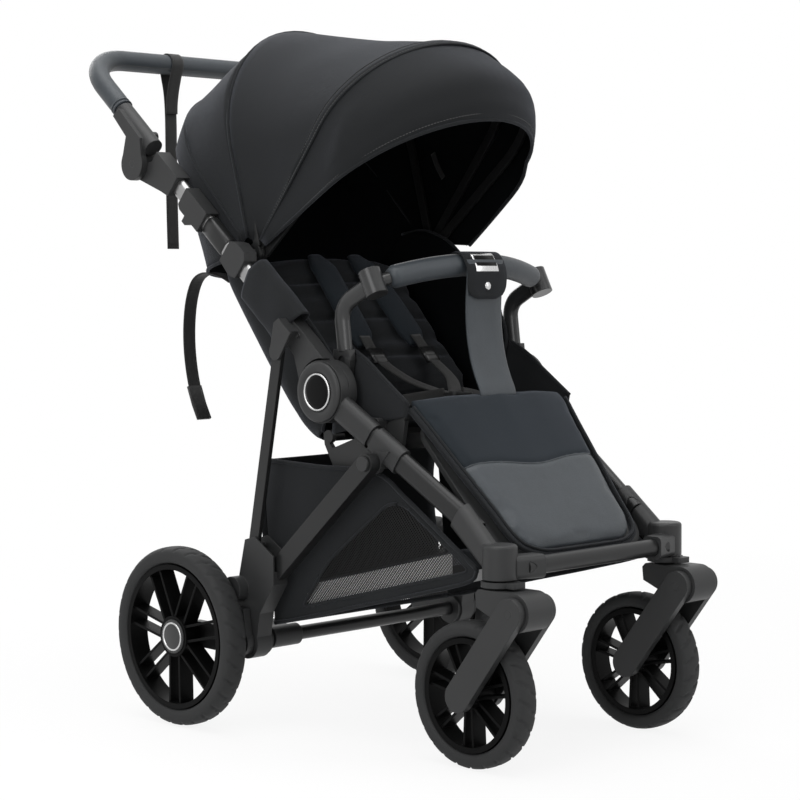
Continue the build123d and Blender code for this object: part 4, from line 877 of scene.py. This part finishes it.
back_pad = plump(frame["nodes"]["backrest_pad"].data, "back_pad", black_cloth, 0.004, 0.008)
creased(back_pad, lines_across(lambda up, x: on_back(up, 48, x), 150, 118, 196, 272), 0.006, 0.007)
worn_by(back_pad, "backrest", "backrest_pad", fill=0.6)
worn_by(plump(frame["nodes"]["seat_pad"].data, "seat_cushion", black_cloth, 0.004, 0.007),
        "chassis", "seat_pad", fill=0.6)

# %% [markdown]
# ## Leg rest
# The leg rest is one pad with two covers: cloth above, leatherette below, joined by a seam that dips in
# the middle. Two pads would leave a gutter between them, so one pad is plumped and cut in two along
# the seam. A flat hem with a piping runs round it.


# %% Leg rest pad
LEG_THICK, LEG_CROWN = 11.5, 13


def leg_half(down):
    """Half the leg rest's width, inside its piping."""
    return float(np.interp(down, (0, 20, 90, 150, 210, 250, 272, 284, 290),
                           (168, 170, 157, 148, 138, 134, 122, 104, 84)))


def seam_down(x):
    """How far down the seam between cloth and leatherette lies."""
    return 129 + 11 * math.exp(-(x / 60) ** 2)


rows = []
for down, share in ((-6, 0.35), (-3, 0.7), (3, 0.88), (12, 0.98), (26, 1), (60, 1), (90, 1), (130, 1),
                    (170, 1), (210, 1), (245, 1), (264, 0.96), (276, 0.86), (284, 0.66), (288, 0.4)):
    crown = LEG_CROWN * math.exp(-(down / 110) ** 2) * share
    row = []
    for a in around(48):
        x = blunt(math.cos(a), 0.34)
        lift = crown * (1 - x * x) if math.sin(a) > 0 else 0
        out = -LEG_THICK + share * LEG_THICK * blunt(math.sin(a), 0.5) + lift
        row.append(on_leg(down, out, leg_half(down) * x))
    rows.append(row)
slab = skin("slab", rows, leg_cloth, ring=True, capped=True)
leg_pad = plump(slab.data, "leg_pad", leg_cloth, 0.002, 0.004)
bpy.data.objects.remove(slab)
leg_top = on_leg(0, 0, 0)
leg_way = (on_leg(1, 0, 0) - leg_top).normalized()
leg_face = (on_leg(0, 1, 0) - leg_top).normalized()


def past_seam(point):
    """Metres from the seam, down the leg rest."""
    return (point - leg_top).dot(leg_way) - seam_down(point.x * 1000) / 1000


SEAM_SNAP, SEAM_NEAR = 0.0014, 0.003
for vertex in leg_pad.data.vertices:
    past = past_seam(vertex.co)
    if abs(past) < SEAM_SNAP:
        vertex.co -= leg_way * past
upper = [v.co.copy() for v in leg_pad.data.vertices
         if abs(past_seam(v.co)) < SEAM_NEAR and v.normal.dot(leg_face) > 0.3]
seam_path = []
for x in np.linspace(-leg_half(130) + 4, leg_half(130) - 4, 41):
    near = min(upper, key=lambda p: abs(p.x - x / 1000))
    seam_path.append(on_leg(seam_down(x), 1000 * (near - leg_top).dot(leg_face) - 0.4, x))
creased(leg_pad, [seam_path], 0.0022, 0.005)
shin_pad = kept(leg_pad, "shin_pad", leg_cloth, lambda p: past_seam(p) < 0)
foot_cover = kept(leg_pad, "foot_cover", leatherette, lambda p: past_seam(p) >= 0)
bpy.data.objects.remove(leg_pad)
worn_by(shin_pad, "leg_rest", "leg_rest_pad", fill=0.5)
worn_by(foot_cover, "leg_rest", "leg_rest_cover", fill=0.5)
worn_by(tube("leg_seam", [p - leg_face * 0.0016 for p in seam_path], 0.0011, leatherette, 6), "leg_rest")

# %% Leg rest hem
hem_half = [(14, 178), (60, 170), (100, 164), (150, 156), (210, 146), (250, 141), (276, 129), (290, 106),
            (296, 80), (297, 40), (297, 0)]
hem_edge = flowing([Vector((-x, down, 0)) for down, x in hem_half]
                   + [Vector((x, down, 0)) for down, x in reversed(hem_half[:-1])], 6)


def in_hem(inset, level):
    """A line round the leg rest, inside its edge and above its board."""
    return [on_leg(p.y - way.x * inset, level, p.x + way.y * inset)
            for p, way in zip(hem_edge, tangents(hem_edge))]


hem_rows = [in_hem(inset, level) for inset, level in
            ((0, -13), (0, -9), (1.2, -7.4), (9, -7.2), (9, -15), (1.2, -14.6))]
worn_by(skin("leg_hem", hem_rows + hem_rows[:1], black_cloth), "leg_rest")
worn_by(tube("leg_piping", in_hem(8.2, -5.8), 0.0023, black_cloth, 8), "leg_rest")
print("hem of", len(hem_edge), "steps")

# %% [markdown]
# ## Harness
# Two padded shoulder straps lie on the backrest, and thin webbing runs from them and from the seat's sides to
# the buckle. The webbing from the shoulder straps crosses the recline hinge and stays where it is drawn, on
# neither body.
# Straps this thin would be lost in a remesh, so they are drawn directly along their paths.

# %% Shoulder pads and webbing
PAD_HALF, PAD_THICK = 0.026, 0.0075
for name, side in SIDES:
    path = flowing([on_back(up, out, side * x) for up, out, x in
                    ((322, 50, 44), (285, 56, 47), (225, 58, 52), (165, 58, 56), (128, 55, 58))], 8)
    widths = [0.55 + 0.45 * min(1, 5 * k / len(path), 5 * (1 - k / (len(path) - 1)) + 0.1)
              for k in range(len(path))]
    rows = []
    for p, way, w in zip(path, tangents(path), widths):
        rows.append([p + ACROSS * (PAD_HALF * w * blunt(math.cos(a), 0.7))
                     + outward(way) * (PAD_THICK * w * blunt(math.sin(a), 0.8)) for a in around(20)])
    worn_by(skin(f"shoulder_pad_{name}", rows, leg_cloth, ring=True, capped=True), "backrest", fill=0.4)
    path = flowing([on_back(142, 64, side * 57), on_back(96, 66, side * 58),
                    at(side * 48, -268, 541), at(side * 22, -302, 524), at(side * 8, -318, 519)], 8)
    lap = strap(f"harness_{name}", path, ACROSS, 0.022, 0.002, webbing)
    stretched(lap, "backrest", "chassis", on_back(120, 64, side * 57), at(side * 40, -276, 537))
    path = flowing([at(side * 158, -262, 500), at(side * 120, -276, 504), at(side * 66, -304, 512),
                    at(side * 20, -322, 518)], 8)
    hip = worn_by(strap(f"hip_strap_{name}", path, Vector((0, 0.3, 1)), 0.02, 0.002, webbing), "chassis")
    worn_by(strap(f"harness_slider_{name}", [on_back(84, 67, side * 58), on_back(112, 68, side * 57)],
                  ACROSS, 0.03, 0.006, gloss_plastic), "backrest")

# %% [markdown]
# ## Bumper bar and crotch panel
# The bar is a foam sleeve in leatherette, closed by a seam with two rows of pale thread on its top.
# A leatherette panel hangs from it to the seat's front edge, held by a cloth flap with a snap. The bar tilts
# when the frame folds; the panel between the seat and the bar stays where it is drawn, on neither body.


# %% Bumper sleeve
def arc_through(a, b, c, steps):
    """Points on the circle through three points, from the first to the last."""
    ab, ac = b - a, c - a
    axis = ab.cross(ac)
    centre = a + (axis.cross(ab) * ac.length_squared + ac.cross(axis) * ab.length_squared) / (
        2 * axis.length_squared)
    spin = (a - centre).angle(b - centre) + (b - centre).angle(c - centre)
    axis.normalize()
    u = a - centre
    v = axis.cross(u)
    turns = [spin * k / steps for k in range(steps + 1)]
    return centre, axis, [centre + math.cos(t) * u + math.sin(t) * v for t in turns]


BAR_Y, BAR_Z, BAR_RADIUS = -367, 716, 0.017
knuckles = [at(side * 184, -333, 689.5) for side in (-1, 1)]
bar_middle, bar_axis, bar_path = arc_through(knuckles[0], at(0, BAR_Y, BAR_Z), knuckles[1], 100)
sleeve_path = bar_path[7:94]
last = len(sleeve_path) - 1
radii = [BAR_RADIUS * min(1, 0.72 + 0.14 * min(k, last - k)) for k in range(last + 1)]
worn_by(tube("bumper_sleeve", sleeve_path, radii, leatherette, 28), "bumper", "bumper_cover", fill=0.8)


def round_bar(point, degrees, radius):
    """A point on the bar's surface: 0 degrees is away from the arc's middle, 90 is its upper side."""
    out = (point - bar_middle).normalized()
    up = bar_axis if bar_axis.z > 0 else -bar_axis
    a = math.radians(degrees)
    return point + radius * (math.cos(a) * out + math.sin(a) * up)


seam_rows = [[round_bar(p, degrees, 0.0172) for p in sleeve_path[3:-3]] for degrees in (48, 72)]
worn_by(stitches("bumper_seam", seam_rows, pale_thread, 0.0046, 0.0036, 0.0008), "bumper", slot="leatherette")
fold_path = [round_bar(p, 60, 0.0166) for p in sleeve_path[2:-2]]
worn_by(tube("bumper_fold", fold_path, 0.0012, leatherette, 6), "bumper")

# %% Crotch panel and flap
panel_path = flowing([at(0, y, z) for y, z in
                      ((-387, 724), (-387.4, 705), (-386, 684), (-384, 650), (-386, 612), (-393, 575),
                       (-403, 547), (-412, 528), (-412, 518), (-396, 514))], 6)
crotch_panel = strap("crotch_panel", panel_path, ACROSS, 0.078, 0.005, leatherette)
stretched(crotch_panel, "chassis", "bumper", at(0, -403, 547), at(0, -386, 688), "crotch_strap")
FLAP_HALF, FLAP_THICK, FLAP_RADIUS = 0.044, 0.0013, 19.2
over_bar = [(BAR_Y + FLAP_RADIUS * math.cos(math.radians(a)), BAR_Z + FLAP_RADIUS * math.sin(math.radians(a)))
            for a in range(20, 151, 10)]
hanging = [(-385.6, 722), (-387.6, 718.5), (-389.6, 715), (-391.2, 711), (-392.2, 706), (-392.6, 700),
           (-392.4, 694), (-392, 688), (-391.6, 682), (-391.2, 676), (-391, 670), (-391, 664)]
flap_path = [at(0, y, z) for y, z in over_bar + hanging]
flap_section = [(-1, 0), (-0.96, 0.0011), (-0.5, FLAP_THICK), (0, FLAP_THICK), (0.5, FLAP_THICK),
                (0.96, 0.0011), (1, 0), (0.96, -0.0011), (0, -FLAP_THICK), (-0.96, -0.0011)]
rows = []
for k, (p, way) in enumerate(zip(flap_path, tangents(flap_path))):
    left = len(flap_path) - 1 - k
    half = FLAP_HALF * min(1, math.sqrt(max(0.0, 1 - (1 - min(left, 4) / 4) ** 2)) * 0.55 + 0.45)
    rows.append([p + ACROSS * (half * u) + outward(way) * v for u, v in flap_section])
crotch_flap = worn_by(skin("crotch_flap", rows, black_cloth, ring=True, capped=True), "bumper")
snap_profile = [(6.2, 0), (6.2, 0.8), (5.4, 1.8), (3.4, 2.5), (1.2, 2.8), (0.2, 2.85)]
worn_by(turned("flap_snap", at(0, -393.2, 684), (0, -1, 0), snap_profile, bright_metal, 32), "bumper")


def plate_rows(half, first, last, proud):
    """A thin plate that lies on the flap, with its edge rounded off."""
    path = flap_path[first:last]
    rows = []
    for k, (p, way) in enumerate(zip(path, tangents(path))):
        out = outward(way)
        out = out if out.y < 0 else -out
        inner = 0 < k < len(path) - 1
        rows.append([p + ACROSS * (half * u) + out * (FLAP_THICK + (proud if inner and abs(u) < 1 else 0))
                     for u in (-1, -0.96, 0, 0.96, 1)])
    return rows


worn_by(skin("flap_plate_rim", plate_rows(0.0245, 10, 19, 0.0007), bright_metal), "bumper")
worn_by(skin("flap_plate", plate_rows(0.0228, 11, 18, 0.0011), badge_plastic), "bumper")

# %% [markdown]
# ## The basket
# Under the seat hangs a deep bag: cloth at the back and below, and an open net in a triangle on each side. A
# pale strip lies behind the net along its lower edge, between the hem and the floor, which lies a little
# higher: it is painted light, a bright sheet that stands in for the light seen through the net there. A net
# skirt closes the back below it. The belt of back and floor sags a little. The sides are fine grids, cut into
# cloth and net along the triangle, and a piping covers the
# seam between them.


# %% Basket outline
def inside(y, z, corners):
    """True where a point lies in a polygon."""
    found = False
    for (y0, z0), (y1, z1) in zip(corners, corners[1:] + corners[:1]):
        if (z0 > z) != (z1 > z) and y < (y1 - y0) * (z - z0) / (z1 - z0) + y0:
            found = not found
    return found


def rounded(corners, reach):
    """A closed outline with every corner cut by a short curve."""
    points = []
    for before, corner, after in zip(corners[-1:] + corners[:-1], corners, corners[1:] + corners[:1]):
        here = Vector(corner)
        start, end = ((here + (Vector(other) - here).normalized() * reach) for other in (before, after))
        points += [tuple(start.lerp(here, t).lerp(here.lerp(end, t), t)) for t in np.linspace(0, 1, 6)]
    return points


BASKET_HALF, BAND_HALF = 194, 190
band_line = [(y, 194 - 0.247 * (y + 184)) for y in range(-178, -500, -16)]
lower_edge = [(-120, 163), (-166, 172), (-300, 206), (-430, 238), (-532, 266), (-550, 284)]
rim = [(-96, 416), (-220, 412), (-345, 410), (-409, 376), (-480, 330), (-550, 285)]
net_edge = rounded([(-408, 367), (-378, 368), (-250, 272), (-184, 194), (-540, 282)], 16)
floor_line = [(-96, 416), (-88, 360), (-96, 262), (-103, 222), (-122, 214), (-184, 229), (-300, 258),
              (-430, 290), (-500, 306), (-526, 299), (-550, 285)]
belt_path = flowing([at(0, y, z) for y, z in floor_line], 5)
belt_rows = []
for k, (p, way) in enumerate(zip(belt_path, tangents(belt_path))):
    sag = 0.006 * math.sin(math.pi * k / (len(belt_path) - 1))
    belt_rows.append([p + ACROSS * (BASKET_HALF / 1000 * u) - outward(way) * (sag * (1 - u * u))
                      for u in np.linspace(-1, 1, 21)])
basket_belt = wrinkled(skin("basket_belt", belt_rows, black_cloth), 0.12, 0.004, 6.0)
shaped(basket_belt, "SOLIDIFY", thickness=0.002, offset=0)
worn_by(basket_belt, "chassis", "basket")
skirt_rows = [[at(x, y, z) for x in np.linspace(-BASKET_HALF, BASKET_HALF, 21)]
              for y, z in ((-103, 222), (-105, 208), (-108, 190), (-114, 175), (-120, 163))]
back_skirt = worn_by(skin("basket_back_net", skirt_rows, net), "chassis")
sheet_of(skirt_rows)

# %% Basket sides, net and bindings
NET_SNAP = 3.2
bindings = []
edge = [Vector((0, *point)) for point in net_edge]
for name, side in SIDES:
    low = flowing([at(side * BASKET_HALF, y, z) for y, z in lower_edge], 14)
    high = flowing([at(side * BASKET_HALF, y, z) for y, z in rim], 14)
    rows = []
    for v in (k / 42 for k in range(43)):
        row = []
        for j, (a, b) in enumerate(zip(low, high)):
            u = j / (len(low) - 1)
            p = a.lerp(b, v)
            p.x += side * 0.007 * math.sin(math.pi * v) * math.sin(math.pi * u)
            row.append(p)
        rows.append(row)
    wall = skin("wall", rows, black_cloth)

    def in_net(p):
        return inside((p.y - REAR_AXLE_Y) * 1000, p.z * 1000, net_edge)

    for vertex in wall.data.vertices:
        here = Vector((0, (vertex.co.y - REAR_AXLE_Y) * 1000, vertex.co.z * 1000))
        near = []
        for a, b in zip(edge, edge[1:] + edge[:1]):
            _, share = intersect_point_line(here, a, b)
            near.append(a.lerp(b, min(1, max(0, share))))
        best = min(near, key=lambda q: (q - here).length)
        if (best - here).length < NET_SNAP:
            vertex.co.y, vertex.co.z = best.y / 1000 + REAR_AXLE_Y, best.z / 1000
    basket_net = kept(wall, f"basket_net_{name}", net, in_net)
    basket_side = kept(wall, f"basket_side_{name}", black_cloth, lambda p: not in_net(p))
    seam_points = [min(wall.data.vertices, key=lambda v: (v.co - at(v.co.x * 1000, y, z)).length).co.copy()
                   for y, z in net_edge]
    bpy.data.objects.remove(wall)
    # The pale strip behind the net is painted light, standing in for the brightness seen through the net.
    band_rows = [[at(side * BAND_HALF, y, z + lift) for y, z in band_line] for lift in (-2, 8, 20, 32)]
    band = worn_by(skin(f"basket_band_{name}", band_rows, painted_light_band), "chassis")
    sheet_of(band_rows)
    worn_by(basket_net, "chassis")
    worn_by(wrinkled(basket_side, 0.09, 0.003, 7.0), "chassis")
    loop = [at(p.x * 1000, y, z) for p, (y, z) in zip(seam_points, net_edge)]
    bindings.append(tube("net_edge", loop + loop[:2], 0.0024, black_cloth, 8))
    bindings.append(tube("edge", low, 0.003, black_cloth, 8))
    bindings.append(tube("rim", high, 0.0035, black_cloth, 8))
bindings.append(tube("back_edge", skirt_rows[-1], 0.004, black_cloth, 8))
basket_binding = worn_by(joined("basket_binding", bindings), "chassis")
sheet_of(belt_rows)

# %% [markdown]
# ## Handle grip and straps
# The handle is wrapped in leatherette with a stitched seam on its inner side. A wrist strap loops
# round it, and a recline strap hangs in a curve behind the seat. The grip is a tube whose path has the
# handle's two bends; the straps are flat sections swept along smooth curves.

# %% Handle grip
GRIP_X, GRIP_TOP, GRIP_BEND, GRIP_ABOVE, GRIP_RADIUS = 222, 795, 82, 33, 0.017
grip_half = [on_push(a, GRIP_ABOVE, -GRIP_X) for a in np.linspace(650, GRIP_TOP - GRIP_BEND, 8)]
for k in range(1, 13):
    a = math.pi / 2 * k / 12
    grip_half.append(on_push(GRIP_TOP - GRIP_BEND + GRIP_BEND * math.sin(a), GRIP_ABOVE,
                             -GRIP_X + GRIP_BEND * (1 - math.cos(a))))
grip_half += [on_push(GRIP_TOP, GRIP_ABOVE, x) for x in np.linspace(-130, 0, 10)]
grip_path = grip_half + [Vector((-p.x, p.y, p.z)) for p in reversed(grip_half[:-1])]
last = len(grip_path) - 1
radii = [GRIP_RADIUS * min(1, 0.8 + 0.1 * min(k, last - k)) for k in range(last + 1)]
worn_by(tube("grip", grip_path, radii, leatherette, 28), "handle", "handle_grip", fill=0.8)
grip_normal = (on_push(0, 1, 0) - on_push(0, 0, 0)).normalized()
seams = []
for lift in (-0.25, 0.05):
    a = math.pi * (1 + lift)
    row = []
    for p, way in zip(grip_path[2:-2], tangents(grip_path)[2:-2]):
        inward = way.cross(grip_normal).normalized()
        row.append(p + 0.0172 * (math.cos(a) * -inward + math.sin(a) * -grip_normal))
    seams.append(row)
worn_by(stitches("grip_seam", seams, dark_thread, 0.005, 0.0034), "handle", slot="leatherette")
push_way = on_push(1, 0, 0) - on_push(0, 0, 0)
rings = []
for _, side in SIDES:
    for along, radius in ((653, 17.6), (660, 17.3)):
        profile = [(15, -1.6), (radius, -1.2), (radius, 1.2), (15, 1.6)]
        centre = on_push(along, GRIP_ABOVE, side * GRIP_X)
        rings.append(turned("ring", centre, push_way, profile, leatherette, 32))
worn_by(joined("grip_rings", rings), "handle")

# %% Wrist strap
WRIST_X, WRIST_RADIUS = -32, 18.6
bar = on_push(GRIP_TOP, GRIP_ABOVE, WRIST_X)


def below(y, z):
    """A point by millimetres behind and above the bar, where the wrist strap hangs."""
    return bar + Vector((0, y / 1000, z / 1000))


turns = [math.radians(a) for a in range(-30, 215, 15)]
loop = [below(WRIST_RADIUS * math.cos(a), WRIST_RADIUS * math.sin(a)) for a in turns]
long_end = [(0.6, -318), (2.4, -240), (3.2, -160), (3.4, -90), (6.5, -50), (13, -22)]
short_end = [(-11, -22), (-4.5, -44), (-0.4, -66), (0.4, -84)]
strap_path = (flowing([below(y, z) for y, z in long_end], 6) + loop
              + flowing([below(y, z) for y, z in short_end], 4))
wrist_strap = worn_by(strap("wrist_strap_web", strap_path, ACROSS, 0.025, 0.0022, webbing),
                      "handle", "wrist_strap")
seams = [[below(1.6, -84) + ACROSS * s, below(4.8, -60) + ACROSS * s] for s in (-0.009, 0.009)]
worn_by(stitches("wrist_seam", seams, dark_thread, 0.004, 0.0028), "handle", slot="webbing")

# %% Recline strap
STRAP_X = -140
hang = [(33, 692), (52, 700), (78, 706), (104, 706), (126, 694), (140, 666), (147, 630), (148, 590),
        (143, 550), (133, 512), (119, 478), (112, 468)]
hang_path = flowing([at(STRAP_X, y, z) for y, z in hang], 6)
recline_web = worn_by(strap("recline_web", hang_path, ACROSS, 0.025, 0.0024, webbing),
                      "backrest", "recline_strap")
fold_path = [at(STRAP_X, y, z) for y, z in ((137, 521), (125, 492), (112, 468))]
worn_by(strap("recline_fold", fold_path, ACROSS, 0.028, 0.006, webbing), "backrest")

# %% [markdown]
# ## Cloth sleeves on the push tubes
# Above the fold hub the push tubes pass through loose sleeves of the seat's cloth, wider than the tube
# and cut on the slant at both ends. A flat tube with soft wrinkles does it; it rides on the push frame.

# %% Push tube sleeves
for name, side in SIDES:
    rows = []
    for t in np.linspace(0, 1, 26):
        row = []
        for a in around(36):
            above = 24 + 36 * blunt(math.sin(a), 0.6)
            first, last = 108 + 0.29 * (60 - above), 240 - 0.28 * abs(above - 34)
            wide = 12.4 * blunt(math.cos(a), 0.55)
            row.append(on_push(first + (last - first) * t, above, side * 215.2 + wide))
        rows.append(row)
    sleeve = wrinkled(skin(f"tube_sleeve_{name}", rows, black_cloth, ring=True), 0.04, 0.0024, 9.0)
    shaped(sleeve, "SOLIDIFY", thickness=0.0016, offset=-1)
    worn_by(sleeve, "push_frame")
    cuff_rows = []
    for along, grow in ((308, -1), (309, 0), (312, 1), (340, 1), (366, 1), (367, 0)):
        cuff_rows.append([on_push(along, 21.4 + (15.6 + grow) * blunt(math.sin(a), 0.7),
                                  side * 215 + (10.8 + grow) * blunt(math.cos(a), 0.7)) for a in around(32)])
    worn_by(skin(f"tube_cuff_{name}", cuff_rows, frame_paint, ring=True), "push_frame")

# %% [markdown]
# ## Tyres
# The tyres are solid foam rubber with shallow slanting grooves that curve over the shoulders. The CAD
# rings are plain, so each is replaced by a turned ring that is fine enough to cut the grooves into its
# mesh: a wave round the rim, skewed across the width, is pressed in where the ring meets the ground.


# %% Treaded tyres
ROUND_STEPS, SECTION_STEPS, GROOVE_DEPTH = 480, 44, 1.9
# For each pair of wheels: distance from the middle, place behind the rear axle, outer and inner radius,
# width and number of tread blocks.
WHEELS = {"rear": (285.3, 0, 140, 112.6, 41, 30), "front": (186.8, -537, 105.75, 81.6, 40, 24)}


def ramp(value, start, width):
    """0 below the start, 1 beyond its width."""
    return min(1.0, max(0.0, (value - start) / width))


def tyre(name, centre, outer, inner, width, blocks, side):
    """A rounded ring about the X axis with slanting tread grooves."""
    middle, half = (outer + inner) / 2, (outer - inner) / 2
    rows = []
    for a in around(ROUND_STEPS):
        row = []
        for b in around(SECTION_STEPS):
            u, v = blunt(math.sin(b), 0.72), blunt(math.cos(b), 0.72)
            wave = math.sin(blocks * a + side * (2.6 * u + 0.9 * math.sin(2.4 * u)))
            shoulder = ramp(v, 0.25, 0.2) * ramp(abs(u), 0.14, 0.1) * ramp(-abs(u), -0.95, 0.1)
            r = middle + half * v - GROOVE_DEPTH * ramp(wave, 0.80, 0.1) * shoulder
            row.append(centre + Vector((width / 2 * u, r * math.cos(a), r * math.sin(a))) / 1000)
        rows.append(row)
    points = [p for row in rows for p in row]
    faces = []
    for i in range(ROUND_STEPS):
        for j in range(SECTION_STEPS):
            here, there = i * SECTION_STEPS, (i + 1) % ROUND_STEPS * SECTION_STEPS
            m = (j + 1) % SECTION_STEPS
            faces.append((here + j, here + m, there + m, there + j))
    return new_piece(name, points, faces, tyre_rubber)


for name, side in SIDES:
    for end, (x, y, outer, inner, width, blocks) in WHEELS.items():
        worn_by(tyre(f"{end}_tread_{name}", at(0, y, outer) + ACROSS * (side * x / 1000), outer, inner, width,
                     blocks, side), f"{end}_wheel_{name}", f"{end}_tyre_{name}")

# %% [markdown]
# ## Hub discs, caps and screws
# The fold hub carries a domed disc with a bright ring round a plain dark badge, and each rear wheel a
# cap with a bright ring. They are turned pieces, so a few radii on a lathe give the dome, the groove
# and the ring at once.

# %% Discs and caps
HUB_OUT, CAP_OUT, SCREW_OUT, SCREW_ABOVE = 232.0, 15, 225.6, 31
hub_turnings = (
    ("hub_disc", charcoal_plastic,
     [(45.4, -4.4), (45.4, -1), (44, 1), (39.5, 2.4), (31.6, 2.8), (30.4, 1.2), (1, 1.2)]),
    ("hub_ring", bright_metal, [(25.2, 1.0), (25.4, 3.0), (26.7, 3.7), (28.2, 3.0), (28.4, 1.0)]),
    ("hub_badge", badge_plastic, [(25.4, 1.0), (25.2, 2.4), (20, 3.3), (11, 3.9), (0.2, 4.1)]))
wheel_turnings = (
    ("wheel_cap", gloss_plastic,
     [(27, -1), (26.6, 1.6), (25, 2.6), (23.4, 2.6), (23, 1.6), (20, 2.2), (10, 3.1), (0.2, 3.4)]),
    ("wheel_ring", bright_metal, [(19.6, 1.8), (19.8, 3.0), (21.2, 3.5), (22.6, 3.0), (22.8, 1.4)]))
screw_profile = [(4.4, -1), (4.4, 0.5), (3.8, 1.2), (2.6, 1.2), (2.3, 0.1), (0.2, 0.1)]
for name, side in SIDES:
    out = ACROSS * side
    hub = at(side * HUB_OUT, *FOLD_HUB)
    for kind, finish, profile in hub_turnings:
        worn_by(turned(f"{kind}_{name}", hub, out, profile, finish, 96), "chassis")
    axle = at(side * (WHEELS["rear"][0] + CAP_OUT), 0, WHEELS["rear"][2])
    for kind, finish, profile in wheel_turnings:
        worn_by(turned(f"{kind}_{name}", axle, out, profile, finish, 72), f"rear_wheel_{name}")
    for along in (110, 91):
        place = on_push(along, SCREW_ABOVE, side * SCREW_OUT)
        worn_by(turned(f"arm_screw_{along}_{name}", place, out, screw_profile, frame_paint, 24),
                "push_frame", slot="charcoal_plastic")
